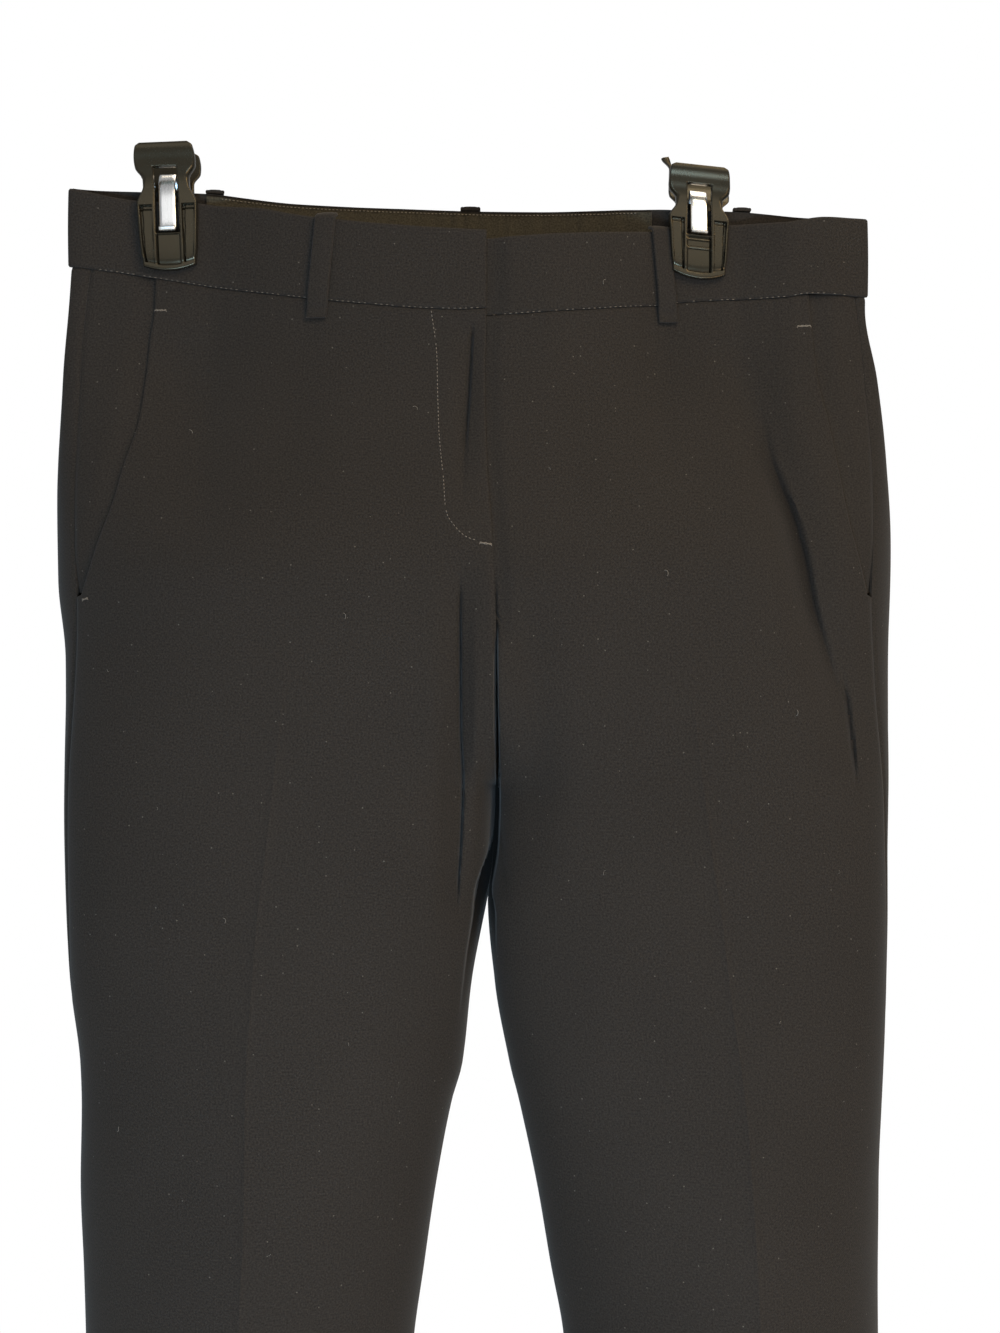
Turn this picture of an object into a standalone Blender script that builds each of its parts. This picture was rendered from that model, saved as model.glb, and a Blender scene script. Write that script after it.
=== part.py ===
"""Straight-leg dress trousers hanging by the waistband from two spring clips.

Tables and functions are in millimetres, meshes in metres. +Z is up, the front faces -Y and the
wearer's right is at -X. The origin is on the line of the rod that the two clips slide on.

The cloth's outer face is one smooth form for each side of the body. A point of it is given by
its height z and by t, which runs round the section: 0 at the centre front (the inseam, on a leg),
0.5 at the front crease, 1 at the outermost side, 1.5 at the back crease and 2 at the centre back.
Each cut piece is a stretch of that form, given its wall inwards and kept clear at its seams.
"""

from collections import namedtuple
from math import cos, pi, radians, sin

import bpy
import numpy as np

MM = 0.001
SEAM_SETBACK = 0.15
TOUCH = 0.3

# Driving sizes.
CLOTH = 1.4
BAND_WALL = 2.6
BAND_PROUD = 0.8
BAND_HEIGHT = 38.5
FACING_WALL = 1.0
HEM_Z = -1052.0
CROTCH_Z = -292.0
FRONT_FORK_Z = -228.0
BACK_FORK_Z = -205.0
THIGH_TOP_Z = -205.0
THIGH_END_Z = -345.0
FLY_END_Z = -178.0
FLY_UNDERLAP = 6.0
FLY_STEP = 1.9
BAND_UNDERLAP = 12.0
BAND_STEP = 3.1
COLUMN_STEP = 9.0
POCKET_END_Z = -199.0
FACING_STEP = 2.0
FACING_UNDERLAP = 9.0
LOOP_WIDTH = 10.0
LOOP_WALL = 1.6
LOOP_GAP = 3.4

# Outline of each side from the front: the outermost side, the edge next to the other leg, and
# where the front and back creases lie.
Outline = namedtuple("Outline", "z side inner front_crease back_crease")
OUTLINE = {
    "right": [
        Outline(4, -197.6, 9.0, -85.0, -85.0),
        Outline(-37, -200.6, 9.0, -85.0, -85.0),
        Outline(-57, -202.0, 9.0, -85.0, -85.0),
        Outline(-92, -205.0, 9.0, -86.0, -86.0),
        Outline(-151, -207.4, 9.0, -87.5, -88.0),
        Outline(-191, -206.9, 9.0, -88.5, -90.0),
        Outline(-230, -203.0, 9.2, -89.5, -92.0),
        Outline(-290, -202.2, 9.2, -95.0, -96.0),
        Outline(-330, -201.5, 7.2, -99.5, -97.0),
        Outline(-349, -201.0, 3.4, -102.0, -98.5),
        Outline(-388, -199.0, -2.9, -105.0, -101.0),
        Outline(-428, -194.6, -7.4, -107.2, -102.0),
        Outline(-447, -194.1, -12.8, -107.4, -104.0),
        Outline(-487, -195.1, -20.7, -107.6, -108.0),
        Outline(-527, -193.6, -26.2, -109.0, -110.0),
        Outline(-562, -192.6, -31.6, -110.0, -113.0),
        Outline(-700, -187.0, -44.0, -114.0, -117.0),
        Outline(-1052, -180.0, -48.0, -112.0, -116.0),
    ],
    "left": [
        Outline(4, 192.7, 10.2, 95.0, 95.0),
        Outline(-37, 192.7, 10.2, 95.0, 95.0),
        Outline(-57, 191.5, 10.2, 95.0, 95.0),
        Outline(-92, 197.6, 10.2, 96.0, 96.0),
        Outline(-131, 201.6, 10.2, 97.0, 97.0),
        Outline(-171, 203.6, 10.2, 98.0, 98.0),
        Outline(-230, 202.2, 9.8, 99.5, 99.0),
        Outline(-290, 201.1, 9.8, 106.0, 104.0),
        Outline(-330, 200.1, 8.4, 111.0, 103.0),
        Outline(-349, 200.1, 5.8, 114.0, 102.0),
        Outline(-388, 199.9, 7.9, 118.5, 102.0),
        Outline(-428, 198.6, 15.3, 124.0, 102.0),
        Outline(-447, 197.9, 20.3, 126.0, 103.0),
        Outline(-487, 196.6, 28.7, 128.5, 105.0),
        Outline(-527, 196.6, 35.6, 130.5, 107.0),
        Outline(-562, 196.6, 42.0, 131.5, 109.0),
        Outline(-700, 194.0, 53.0, 133.0, 113.0),
        Outline(-1052, 189.0, 57.0, 130.0, 115.0),
    ],
}

# The centre front and centre back seams, and how far the front and back stand from the middle.
Centre = namedtuple("Centre", "z front back")
CENTRE = [
    Centre(4, 4.6, -4.0),
    Centre(-60, 4.4, -4.0),
    Centre(-92, 3.8, -3.0),
    Centre(-131, 4.6, 0.0),
    Centre(-176, 7.6, 5.0),
    Centre(-230, 9.4, 12.4),
    Centre(-292, 9.5, 12.4),
]
Depth = namedtuple("Depth", "z front back")
DEPTH = [
    Depth(4, 27.0, 22.0),
    Depth(-60, 30.0, 25.0),
    Depth(-100, 40.0, 37.0),
    Depth(-150, 50.0, 52.0),
    Depth(-200, 57.0, 61.0),
    Depth(-250, 58.0, 62.0),
    Depth(-300, 57.0, 60.0),
    Depth(-350, 57.0, 59.0),
    Depth(-450, 61.0, 63.0),
    Depth(-562, 68.0, 70.0),
    Depth(-700, 70.0, 72.0),
    Depth(-1052, 73.0, 75.0),
]

# Section of a leg: crease 1 is round and 2 is a pressed edge, box 1 is round and 0.5 is square.
Corner = namedtuple("Corner", "z crease box")
CORNER = [
    Corner(-230, 0.85, 0.60),
    Corner(-292, 0.85, 0.60),
    Corner(-350, 1.00, 0.62),
    Corner(-420, 1.25, 0.72),
    Corner(-500, 1.45, 0.85),
    Corner(-562, 1.55, 0.92),
    Corner(-1052, 1.60, 0.95),
]
# How far the inner thighs lean across each other, a share of the way forward, within a reach.
LEAN = [(-325, 0.22), (-385, 0.0)]
LEAN_REACH = 18.0
BODY_BOX = 3.5
LAST_SEAM_T = 0.96
FOLD_BOX = 24
WAIST_FORM_Z = -50.0
HIP_FORM_Z = -190.0

# How far the pinched waist stands from the middle, across it. Both clips close it to PINCHED.
PINCHED = 2.9
WAIST = {
    "front": [(-201, PINCHED), (-172, PINCHED), (-134, PINCHED), (-120, 6), (-100, 11), (-70, 17.5), (-40, 22),
              (0, 25), (30, 24), (55, 18.5), (75, 10.5), (90, 3.5), (94, PINCHED), (127, PINCHED), (140, 5.5),
              (155, 8.8), (172, 7.6), (185, 4), (193, 3)],
    "back": [(-201, PINCHED), (-172, PINCHED), (-134, PINCHED), (-118, 6), (-100, 9.5), (-70, 14.5), (-40, 18),
             (0, 20.5), (30, 19), (55, 15), (78, 8.5), (91, 3.4), (94, PINCHED), (127, PINCHED), (140, 4.2),
             (158, 6), (175, 5), (193, 3)],
}

# The waistband's edges across the waist. Its right half ends higher, over the left half.
BAND_TOP = {
    "right": [(-201, 2.5), (-168, -3.9), (-138, -5.3), (-125, -9.6), (-80, -14.9), (-43, -19.4),
              (-1, -22.7), (6, -22.9)],
    "left": [(-10, -26.9), (6.6, -26.5), (30, -24.9), (83.6, -20.1), (110, -17.2), (132, -15.8),
             (150, -15.6), (170, -12.9), (193, -12.6)],
    "back": [(-201, 2.5), (-185, 1.6), (-138, 0.4), (-89, -3.0), (-36, -3.8), (17, -4.9), (71, -6.0),
             (95, -7.6), (131, -8.8), (170, -11.6), (193, -12.6)],
}
BAND_FOOT = {
    "right": [(-201, -36.0), (-188, -37.6), (-73, -55.3), (-46, -58.4), (-28, -60.1), (-8, -60.9),
              (6, -60.2)],
    "left": [(-10, -64.2), (5.6, -63.8), (54, -59.9), (72, -57.7), (87, -56.0), (100, -54.0),
             (123, -52.8), (150, -52.2), (163, -50.6), (185, -50.9), (193, -51.1)],
}

# The slant pocket's opening edge and the side seam, both on the front, and where each lies.
POCKET = {
    "right": [(-45, -159.0), (-62, -159.6), (-73, -161.6), (-89, -163.0), (-114, -165.6),
              (-134, -171.0), (-154, -175.4), (-171, -181.3), (-187, -186.6), (-200, -191.5)],
    "left": [(-45, 162.0), (-70, 164.0), (-93, 166.1), (-114, 170.6), (-136, 174.2), (-162, 178.7),
             (-181, 183.6), (-200, 188.4)],
}
SIDE_SEAM = {
    "right": [(4, -186.0), (-38, -188.5), (-57, -193.0), (-84, -195.6), (-137, -196.4),
              (-174, -195.2), (-200, -194.2), (-235, -195.0), (-300, -198.2), (-388, -197.4),
              (-470, -194.6), (-562, -192.6), (-1052, -180.0)],
    "left": [(4, 184.0), (-50, 186.5), (-75, 189.4), (-93, 190.8), (-114, 192.4), (-137, 193.1),
             (-174, 192.0), (-200, 190.8), (-235, 192.4), (-300, 196.6), (-388, 198.6),
             (-470, 197.2), (-562, 196.6), (-1052, 189.0)],
}

# Soft troughs pressed into the front and back: each row is a place along one.
Trough = namedtuple("Trough", "z x depth width")
BESIDE_FLY = [Trough(-64, -2.5, 0, 6), Trough(-78, -3.5, 2.6, 6), Trough(-106, -4.5, 3.2, 6),
              Trough(-128, -5.8, 2.6, 6), Trough(-160, -7.0, 0, 6)]
TROUGHS = {
    ("right", "front"): [
        BESIDE_FLY,
        [Trough(-176, -8.0, 0, 8), Trough(-206, -7.8, 4.0, 8), Trough(-247, -7.3, 6.0, 8),
         Trough(-291, -6.4, 5.5, 8), Trough(-330, -8.2, 4.0, 8), Trough(-362, -9.5, 0, 8)],
        [Trough(-60, -150, 0, 16), Trough(-90, -146, 4.0, 18), Trough(-130, -140, 3.0, 22),
         Trough(-190, -134, 0, 24)],
    ],
    ("left", "front"): [
        BESIDE_FLY,
        [Trough(-70, 128, 0, 14), Trough(-100, 135, 4.0, 14), Trough(-132, 143, 7.0, 14),
         Trough(-163, 153, 7.5, 14), Trough(-203, 161, 7.0, 14), Trough(-245, 173.6, 5.0, 13),
         Trough(-290, 182, 0, 12)],
        [Trough(-190, 24, 0, 12), Trough(-230, 26, 2.5, 12), Trough(-280, 27, 2.5, 12),
         Trough(-340, 22, 0, 12)],
    ],
    ("right", "back"): [
        [Trough(-70, -146, 0, 16), Trough(-110, -140, 6.0, 18), Trough(-170, -128, 5.0, 20),
         Trough(-240, -112, 0, 20)],
        [Trough(-300, -30, 0, 16), Trough(-330, -46, 4.5, 16), Trough(-370, -62, 0, 16)],
    ],
    ("left", "back"): [
        [Trough(-70, 112, 0, 16), Trough(-110, 116, 6.0, 18), Trough(-175, 126, 5.0, 20),
         Trough(-250, 138, 0, 20)],
        [Trough(-300, 34, 0, 16), Trough(-332, 52, 4.5, 16), Trough(-372, 70, 0, 16)],
    ],
}

Material = namedtuple("Material", "color roughness metallic")
WOOL = Material((0.030, 0.027, 0.024, 1), 0.86, 0.0)
LINING = Material((0.048, 0.040, 0.030, 1), 0.80, 0.0)
BLACK_PLASTIC = Material((0.012, 0.012, 0.010, 1), 0.28, 0.0)
SPRING_STEEL = Material((0.55, 0.57, 0.60, 1), 0.24, 1.0)


def follow(points, at):
    """A smooth curve through (position, value) points, which never overshoots them."""
    place, value = np.array(sorted(points), dtype=float).T
    gap = np.diff(place)
    rise = np.diff(value) / gap
    slope = np.concatenate(([rise[0]], np.zeros(len(rise) - 1), [rise[-1]]))
    steady = rise[:-1] * rise[1:] > 0
    before, after = rise[:-1][steady], rise[1:][steady]
    slope[1:-1][steady] = 2 * before * after / (before + after)
    at = np.clip(at, place[0], place[-1])
    i = np.clip(np.searchsorted(place, at, side="right") - 1, 0, len(gap) - 1)
    f = (at - place[i]) / gap[i]
    start = (1 + 2 * f) * (1 - f) ** 2 * value[i] + f * (1 - f) ** 2 * gap[i] * slope[i]
    end = f * f * (3 - 2 * f) * value[i + 1] + f * f * (f - 1) * gap[i] * slope[i + 1]
    return start + end


def along(rows, name, z):
    """One named column of a table, at the heights z."""
    return follow([(row.z, getattr(row, name)) for row in rows], z)


def ease(x):
    """0 below 0, 1 above 1, and a soft step between."""
    x = np.clip(x, 0, 1)
    return x * x * (3 - 2 * x)


def front_or_back(t, front, back):
    return np.where(t <= 1, front, back)


def form(side, t, z):
    """The cloth's outer face before its folds: an array of x, y, z points."""
    t, z = np.broadcast_arrays(np.asarray(t, dtype=float), np.asarray(z, dtype=float))
    rows = OUTLINE[side]
    round_t = front_or_back(t, t, 2 - t)
    face = front_or_back(t, -along(DEPTH, "front", z), along(DEPTH, "back", z))
    crease_x = front_or_back(t, along(rows, "front_crease", z), along(rows, "back_crease", z))
    centre_x = front_or_back(t, along(CENTRE, "front", z), along(CENTRE, "back", z))
    side_x = along(rows, "side", z)
    inner_x = along(rows, "inner", z)
    inward = np.clip(round_t / 0.5, 0, 1) * pi / 2
    outward = np.clip((round_t - 0.5) / 0.5, 0, 1) * pi / 2
    by_centre = round_t < 0.5

    body_x = np.where(by_centre, centre_x + (crease_x - centre_x) * round_t / 0.5,
                      crease_x + (side_x - crease_x) * np.sin(outward))
    across = np.clip(np.abs((body_x - centre_x) / (side_x - centre_x)), 0, 1)
    hip_y = face * np.sqrt(1 - across ** BODY_BOX)
    waist = front_or_back(t, -follow(WAIST["front"], body_x), follow(WAIST["back"], body_x))
    waist_y = waist * np.sqrt(1 - across ** FOLD_BOX)
    hip_share = ease((WAIST_FORM_Z - z) / (WAIST_FORM_Z - HIP_FORM_Z))
    body_y = waist_y + (hip_y - waist_y) * hip_share

    crease = along(CORNER, "crease", z)
    box = along(CORNER, "box", z)
    leg_x = crease_x + np.where(by_centre, (inner_x - crease_x) * np.cos(inward) ** crease,
                                (side_x - crease_x) * np.sin(outward) ** crease)
    leg_y = face * np.where(by_centre, np.sin(inward) ** box, np.cos(outward) ** box)
    leg_x -= by_centre * follow(LEAN, z) * leg_y * np.exp(-(leg_y / LEAN_REACH) ** 2)

    fork_z = front_or_back(t, FRONT_FORK_Z, BACK_FORK_Z)
    down = np.clip((fork_z - z) / (fork_z - CROTCH_Z), 0, 1)
    fork_share = 1 - np.sqrt(1 - down ** 2)
    outer_share = ease((THIGH_TOP_Z - z) / (THIGH_TOP_Z - THIGH_END_Z))
    leg_share = fork_share + (outer_share - fork_share) * ease(round_t / 0.45)
    x = body_x + (leg_x - body_x) * leg_share
    y = body_y + (leg_y - body_y) * leg_share
    return np.stack([x, y, z], axis=-1)


def trough_depth(side, t, point):
    """How deep the soft troughs press the cloth in at each point."""
    x, z = point[..., 0], point[..., 2]
    depth = np.zeros_like(x)
    for face, here in (("front", t <= 1), ("back", t > 1)):
        for rows in TROUGHS[side, face]:
            off = (x - along(rows, "x", z)) / along(rows, "width", z)
            depth += here * along(rows, "depth", z) * np.exp(-off * off)
    return depth


def cloth(side, t, z, out=0.0):
    """Points on the outer face, or out millimetres off it along its normal, folds included."""
    t, z = np.broadcast_arrays(np.asarray(t, dtype=float), np.asarray(z, dtype=float))
    t_step, z_step = 0.002, 0.5
    point = form(side, t, z)
    round_it = form(side, t + t_step, z) - form(side, t - t_step, z)
    down_it = form(side, t, z - z_step) - form(side, t, z + z_step)
    normal = np.cross(round_it, down_it) * (1 if side == "right" else -1)
    normal /= np.linalg.norm(normal, axis=-1, keepdims=True)
    off = np.asarray(out) - trough_depth(side, t, point)
    return point + normal * off[..., None]


def t_at(side, table, z):
    """Where, on the front, the form at height z reaches the x that the table gives."""
    t = np.linspace(0.5, 1.0, 401)
    places = []
    for height in np.atleast_1d(z):
        x = np.abs(form(side, t, height)[:, 0])
        places.append(min(np.interp(abs(follow(table, height)), x, t), LAST_SEAM_T))
    return np.array(places)


def band_edge(side, t, top):
    """Height of the waistband's top or bottom edge."""
    x = form(side, t, WAIST_FORM_Z)[..., 0]
    back = follow(BAND_TOP["back"], x)
    if top:
        return front_or_back(t, follow(BAND_TOP[side], x), back)
    return front_or_back(t, follow(BAND_FOOT[side], x), back - BAND_HEIGHT)


def mesh_object(name, points, faces, material):
    """A solid from points in millimetres, with its faces turned outwards."""
    points = np.asarray(points, dtype=float) * MM
    corners = points[np.array(faces)]
    volume = np.einsum("ij,ij->i", corners[:, 0], np.cross(corners[:, 1], corners[:, 2])).sum()
    if volume < 0:
        faces = [tuple(reversed(face)) for face in faces]
    mesh = bpy.data.meshes.new(name)
    mesh.from_pydata([tuple(p) for p in points], [], faces)
    mesh.shade_smooth()
    mesh.set_sharp_from_angle(angle=radians(40))
    finish = bpy.data.materials.new(name)
    finish.use_nodes = True
    shader = finish.node_tree.nodes["Principled BSDF"]
    shader.inputs["Base Color"].default_value = material.color
    shader.inputs["Roughness"].default_value = material.roughness
    shader.inputs["Metallic"].default_value = material.metallic
    mesh.materials.append(finish)
    thing = bpy.data.objects.new(name, mesh)
    bpy.context.scene.collection.objects.link(thing)
    return thing


def wall(name, outer, inner, material, open_cells=()):
    """A closed sheet between two grids of points, less any open cells."""
    rows, columns = outer.shape[:2]
    count = rows * columns
    points = np.concatenate([outer.reshape(-1, 3), inner.reshape(-1, 3)])
    open_cells = set(open_cells)
    faces = []

    def filled(i, j):
        return 0 <= i < rows - 1 and 0 <= j < columns - 1 and (i, j) not in open_cells

    def rim(a, b):
        faces.extend([(a, a + count, b + count), (a, b + count, b)])

    for i in range(rows - 1):
        for j in range(columns - 1):
            if not filled(i, j):
                continue
            a, b = i * columns + j, (i + 1) * columns + j
            c, d = b + 1, a + 1
            if np.linalg.norm(points[a] - points[c]) <= np.linalg.norm(points[b] - points[d]):
                halves = [(a, b, c), (a, c, d)]
            else:
                halves = [(a, b, d), (b, c, d)]
            faces.extend(halves)
            faces.extend((p + count, r + count, q + count) for p, q, r in halves)
            if not filled(i, j - 1):
                rim(a, b)
            if not filled(i + 1, j):
                rim(b, c)
            if not filled(i, j + 1):
                rim(c, d)
            if not filled(i - 1, j):
                rim(d, a)
    used = sorted({corner for face in faces for corner in face})
    number = {old: new for new, old in enumerate(used)}
    faces = [tuple(number[corner] for corner in face) for face in faces]
    return mesh_object(name, points[used], faces, material)


def set_back(grid, distance=SEAM_SETBACK, first=True, last=True):
    """Draws a grid's first and last columns in, so that neighbours stay clear of each other."""
    drawn = grid.copy()
    ends = ([(0, 1)] if first else []) + ([(-1, -2)] if last else [])
    for end, beside in ends:
        into = grid[:, beside] - grid[:, end]
        drawn[:, end] += distance * into / np.linalg.norm(into, axis=-1, keepdims=True)
    return drawn


# Heights of the rows of points on a panel, below two that follow the waistband's foot. Those
# give the share of the way down to the first level, and the height that their seams are read at.
UNDER_BAND = [(0.0, -50.0), (0.5, -65.0)]
PANEL_LEVELS = [-80, -96, -113, -131, -150, -169, FLY_END_Z, -190, -200, -212, -228, -244, -258, -270, -280, -287,
                -292, -305, -325, -350, -385, -425, -465, -505, -562, -640, -740, -860, -960, HEM_Z]


def panel_rows(side, t_of_z, levels=PANEL_LEVELS):
    """Pairs of t and z, row by row, from under the waistband down."""
    t_rows, z_rows = [], []
    for down, near_z in UNDER_BAND:
        t = t_of_z(near_z)
        under = band_edge(side, t, top=False) - TOUCH
        t_rows.append(t)
        z_rows.append(under + (PANEL_LEVELS[0] - under) * down)
    for level in levels:
        t = t_of_z(level)
        t_rows.append(t)
        z_rows.append(np.full(len(t), float(level)))
    return np.array(t_rows), np.array(z_rows)


def front_edge(side, z):
    """t at the front's outer edge: the pocket's opening, then the side seam."""
    table = POCKET[side] if z > POCKET_END_Z else SIDE_SEAM[side]
    return t_at(side, table, z)[0]


def fly_share(z, end, length):
    """1 along the fly, falling to 0 at its end."""
    return ease((np.asarray(z) - end) / length)


def front_panel(side):
    """Each front runs from the centre to the pocket edge; the left one also runs under the fly."""
    def columns(z):
        edge = front_edge(side, z)
        outer = 0.5 + (edge - 0.5) * np.linspace(0, 1, 7)
        if side == "right":
            return np.concatenate([[0, 0.07, 0.14, 0.21, 0.28, 0.35, 0.42], outer])
        width = along(OUTLINE[side], "front_crease", z) - along(CENTRE, "front", z)
        start = -0.5 * FLY_UNDERLAP / width * fly_share(z, FLY_END_Z, 8)
        return np.concatenate([[start, 0.008, 0.03, 0.055, 0.11, 0.18, 0.26, 0.33, 0.4, 0.46], outer])

    t, z = panel_rows(side, columns)
    step = np.zeros_like(z)
    if side == "left":
        past = form(side, t, z)[..., 0] - along(CENTRE, "front", z)
        step = FLY_STEP * (1 - ease((past - 1.0) / 8.0)) * fly_share(z, FLY_END_Z - 12, 12)
    wall("front_" + side, set_back(cloth(side, t, z, -step)), set_back(cloth(side, t, z, -step - CLOTH)), WOOL)


def back_panel(side):
    """Each back runs from the side seam, round the side, to the centre back."""
    def columns(z):
        seam = t_at(side, SIDE_SEAM[side], z)[0]
        return np.concatenate([seam + (1 - seam) * np.array([0, 0.35, 0.7]),
                               1 + 0.5 * np.array([0, 0.1, 0.22, 0.36, 0.5, 0.62, 0.74, 0.86]),
                               1.5 + 0.5 * np.array([0, 0.15, 0.3, 0.45, 0.6, 0.75, 0.88, 1])])

    t, z = panel_rows(side, columns)
    wall("back_" + side, set_back(cloth(side, t, z)), set_back(cloth(side, t, z, -CLOTH)), WOOL)


def pocket_facing(side):
    """The side piece under the slant pocket, from behind the opening edge to the side seam."""
    def columns(z):
        edge = t_at(side, POCKET[side], z)[0]
        seam = t_at(side, SIDE_SEAM[side], z)[0]
        beside = form(side, np.array([edge - 0.01, edge]), z)
        start = edge - 0.01 * FACING_UNDERLAP / np.linalg.norm(beside[1] - beside[0])
        return np.concatenate([[start, edge - 0.3 * (edge - start)],
                               edge + (seam - edge) * np.array([0.06, 0.4, 0.7, 1])])

    levels = [level for level in PANEL_LEVELS if level > POCKET_END_Z] + [POCKET_END_Z + 1]
    t, z = panel_rows(side, columns, levels)
    points = form(side, t, z)
    shown = np.linalg.norm(points - points[:, 2:3], axis=-1) * (t > t[:, 2:3])
    step = FACING_STEP * (1 - ease((shown - 2.0) / 12.0))
    wall("pocket_facing_" + side, set_back(cloth(side, t, z, -step), first=False),
         set_back(cloth(side, t, z, -step - CLOTH), first=False), WOOL)


def waist_t(side, x, back):
    """t of a place x on the waistband's front or back."""
    fine = np.linspace(1, 2.1, 1101) if back else np.linspace(-0.1, 1, 1101)
    reached = form(side, fine, WAIST_FORM_Z)[:, 0]
    order = np.argsort(reached)
    return np.interp(x, reached[order], fine[order])


def waistband_columns(side, start):
    """t of the waistband's columns: one at each row of the waist tables and between them."""
    sign = -1 if side == "right" else 1
    column = {"front": start, "back": along(CENTRE, "back", WAIST_FORM_Z)}
    corner = along(OUTLINE[side], "side", WAIST_FORM_Z)
    t = [0.97, 0.985, 1.0, 1.015, 1.03]
    for face, centre in column.items():
        rows = [x for x, _ in WAIST[face] if sign * centre + 3 < sign * x < sign * corner - 4]
        edges = [centre] + sorted(rows, key=abs) + [corner - 5 * sign]
        for near, far in zip(edges, edges[1:]):
            steps = max(1, round(abs(far - near) / COLUMN_STEP))
            t.extend(waist_t(side, near + (far - near) * step / steps, face == "back") for step in range(steps))
    if side == "left":
        centre = along(CENTRE, "front", WAIST_FORM_Z)
        t.extend(waist_t(side, centre + past, False) for past in (0, 2, 5, 8))
    t = np.sort(np.array(t, dtype=float))
    return t[np.concatenate([[True], np.diff(t) > 0.004])]


def waistband(side):
    """Half of the waistband: a straight wall that stands a little proud of the panels."""
    start = along(CENTRE, "front", WAIST_FORM_Z) - (BAND_UNDERLAP if side == "left" else 0)
    t = waistband_columns(side, start)
    foot, top = band_edge(side, t, top=False), band_edge(side, t, top=True)
    share = np.array([0, 0.5, 1])[:, None]
    z = foot + (top - foot) * share
    t = np.broadcast_to(t, z.shape)
    level = np.full_like(z, WAIST_FORM_Z)
    step = np.zeros_like(z)
    if side == "left":
        past = form(side, t, level)[..., 0] - along(CENTRE, "front", level)
        step = BAND_STEP * (1 - ease((past - 2.0) / 11.0)) * (t < 1)

    def face(out):
        grid = cloth(side, t, level, out)
        grid[..., 2] = z
        return set_back(grid)

    wall("waistband_" + side, face(BAND_PROUD - step), face(BAND_PROUD - step - BAND_WALL), WOOL)


def waistband_facing():
    """The inner face of the back waistband, where the band stands open between the clips."""
    inside = BAND_PROUD - BAND_WALL - TOUCH - 0.1
    right = np.linspace(1.42, 2.0, 12)
    left = np.linspace(2.0, 1.54, 10)[1:]
    sheets = []
    for out in (inside, inside - FACING_WALL):
        halves = []
        for side, t in (("right", right), ("left", left)):
            top = band_edge(side, t, top=True) - 1.5
            z = top - (BAND_HEIGHT - 4.0) * np.array([0, 0.5, 1])[:, None]
            grid = cloth(side, np.broadcast_to(t, z.shape), np.full_like(z, WAIST_FORM_Z), out)
            grid[..., 2] = z
            halves.append(grid)
        sheets.append(np.concatenate(halves, axis=1))
    wall("waistband_facing", sheets[0], sheets[1], LINING)


# Each belt loop: where its top and its bottom lie, on which side and face.
Loop = namedtuple("Loop", "name side back top_x foot_x width")
LOOPS = [
    Loop("belt_loop_front_right", "right", False, -74.5, -79.5, LOOP_WIDTH),
    Loop("belt_loop_front_left", "left", False, 89.0, 93.6, LOOP_WIDTH - 0.6),
    Loop("belt_loop_back_right", "right", True, -130.4, -130.4, LOOP_WIDTH - 1),
    Loop("belt_loop_back_left", "left", True, 130.8, 130.8, LOOP_WIDTH - 1),
    Loop("belt_loop_back_centre", "right", True, -4.0, -4.0, LOOP_WIDTH),
]
# A loop's course: height above the band's foot or its top edge, and how far it stands off.
Stand = namedtuple("Stand", "edge height gap")
COURSE = [
    Stand("foot", -9.5, 0.85),
    Stand("foot", -5.0, 0.95),
    Stand("foot", -1.5, 2.4),
    Stand("foot", 3.0, LOOP_GAP + BAND_PROUD - 0.4),
    Stand("foot", 9.0, LOOP_GAP + BAND_PROUD),
    Stand("top", -9.0, LOOP_GAP + BAND_PROUD),
    Stand("top", -3.0, LOOP_GAP + BAND_PROUD - 0.5),
    Stand("top", 0.2, 2.2 + BAND_PROUD),
    Stand("top", 1.8, 0.0),
    Stand("top", 1.8, -1.4),
]


def belt_loop(loop):
    """A flat strap, folded over the band's top edge and stitched to the cloth below the band."""
    def t_of_x(x):
        return float(waist_t(loop.side, x, loop.back))

    def edge_height(stand):
        x = loop.top_x if stand.edge == "top" else loop.foot_x
        return float(band_edge(loop.side, t_of_x(x), top=stand.edge == "top")) + stand.height

    heights = np.array([edge_height(stand) for stand in COURSE])
    path = np.array([[stand.gap + LOOP_WALL / 2, z] for stand, z in zip(COURSE, heights)])
    course = np.gradient(path, axis=0)
    course /= np.linalg.norm(course, axis=1, keepdims=True)
    aside = np.stack([course[:, 1], -course[:, 0]], axis=1) * LOOP_WALL / 2
    share = np.clip((heights - heights[0]) / (heights[-1] - heights[0]), 0, 1)
    centre = loop.foot_x + (loop.top_x - loop.foot_x) * share

    def face(path):
        grid = []
        for (off, z), x in zip(path, centre):
            row = []
            for across in (-0.5, 0.0, 0.5):
                t = t_of_x(x + across * loop.width)
                on_band = min(z, WAIST_FORM_Z) if z < heights[2] else WAIST_FORM_Z
                point = cloth(loop.side, t, on_band, off)
                point[2] = z
                row.append(point)
            grid.append(row)
        return np.array(grid)

    wall(loop.name, face(path + aside), face(path - aside), WOOL)


# A clip's jaw, front view: half its width, the face towards the cloth and the outer face.
Jaw = namedtuple("Jaw", "z half inner outer")
JAW = [
    Jaw(22.6, 11.8, 11.0, 13.6),
    Jaw(20.8, 14.0, 10.2, 13.8),
    Jaw(14.0, 15.0, 7.8, 12.2),
    Jaw(11.2, 14.8, 7.0, 11.6),
    Jaw(6.0, 11.6, 5.6, 10.4),
    Jaw(2.0, 11.4, 5.0, 10.0),
    Jaw(-3.5, 13.8, 4.1, 9.8),
    Jaw(-6.0, 14.7, 4.0, 9.8),
    Jaw(-20.9, 14.2, 4.0, 9.6),
    Jaw(-33.5, 13.2, 4.0, 9.0),
    Jaw(-37.6, 11.6, 4.0, 7.6),
    Jaw(-39.0, 9.0, 4.0, 6.2),
]
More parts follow.
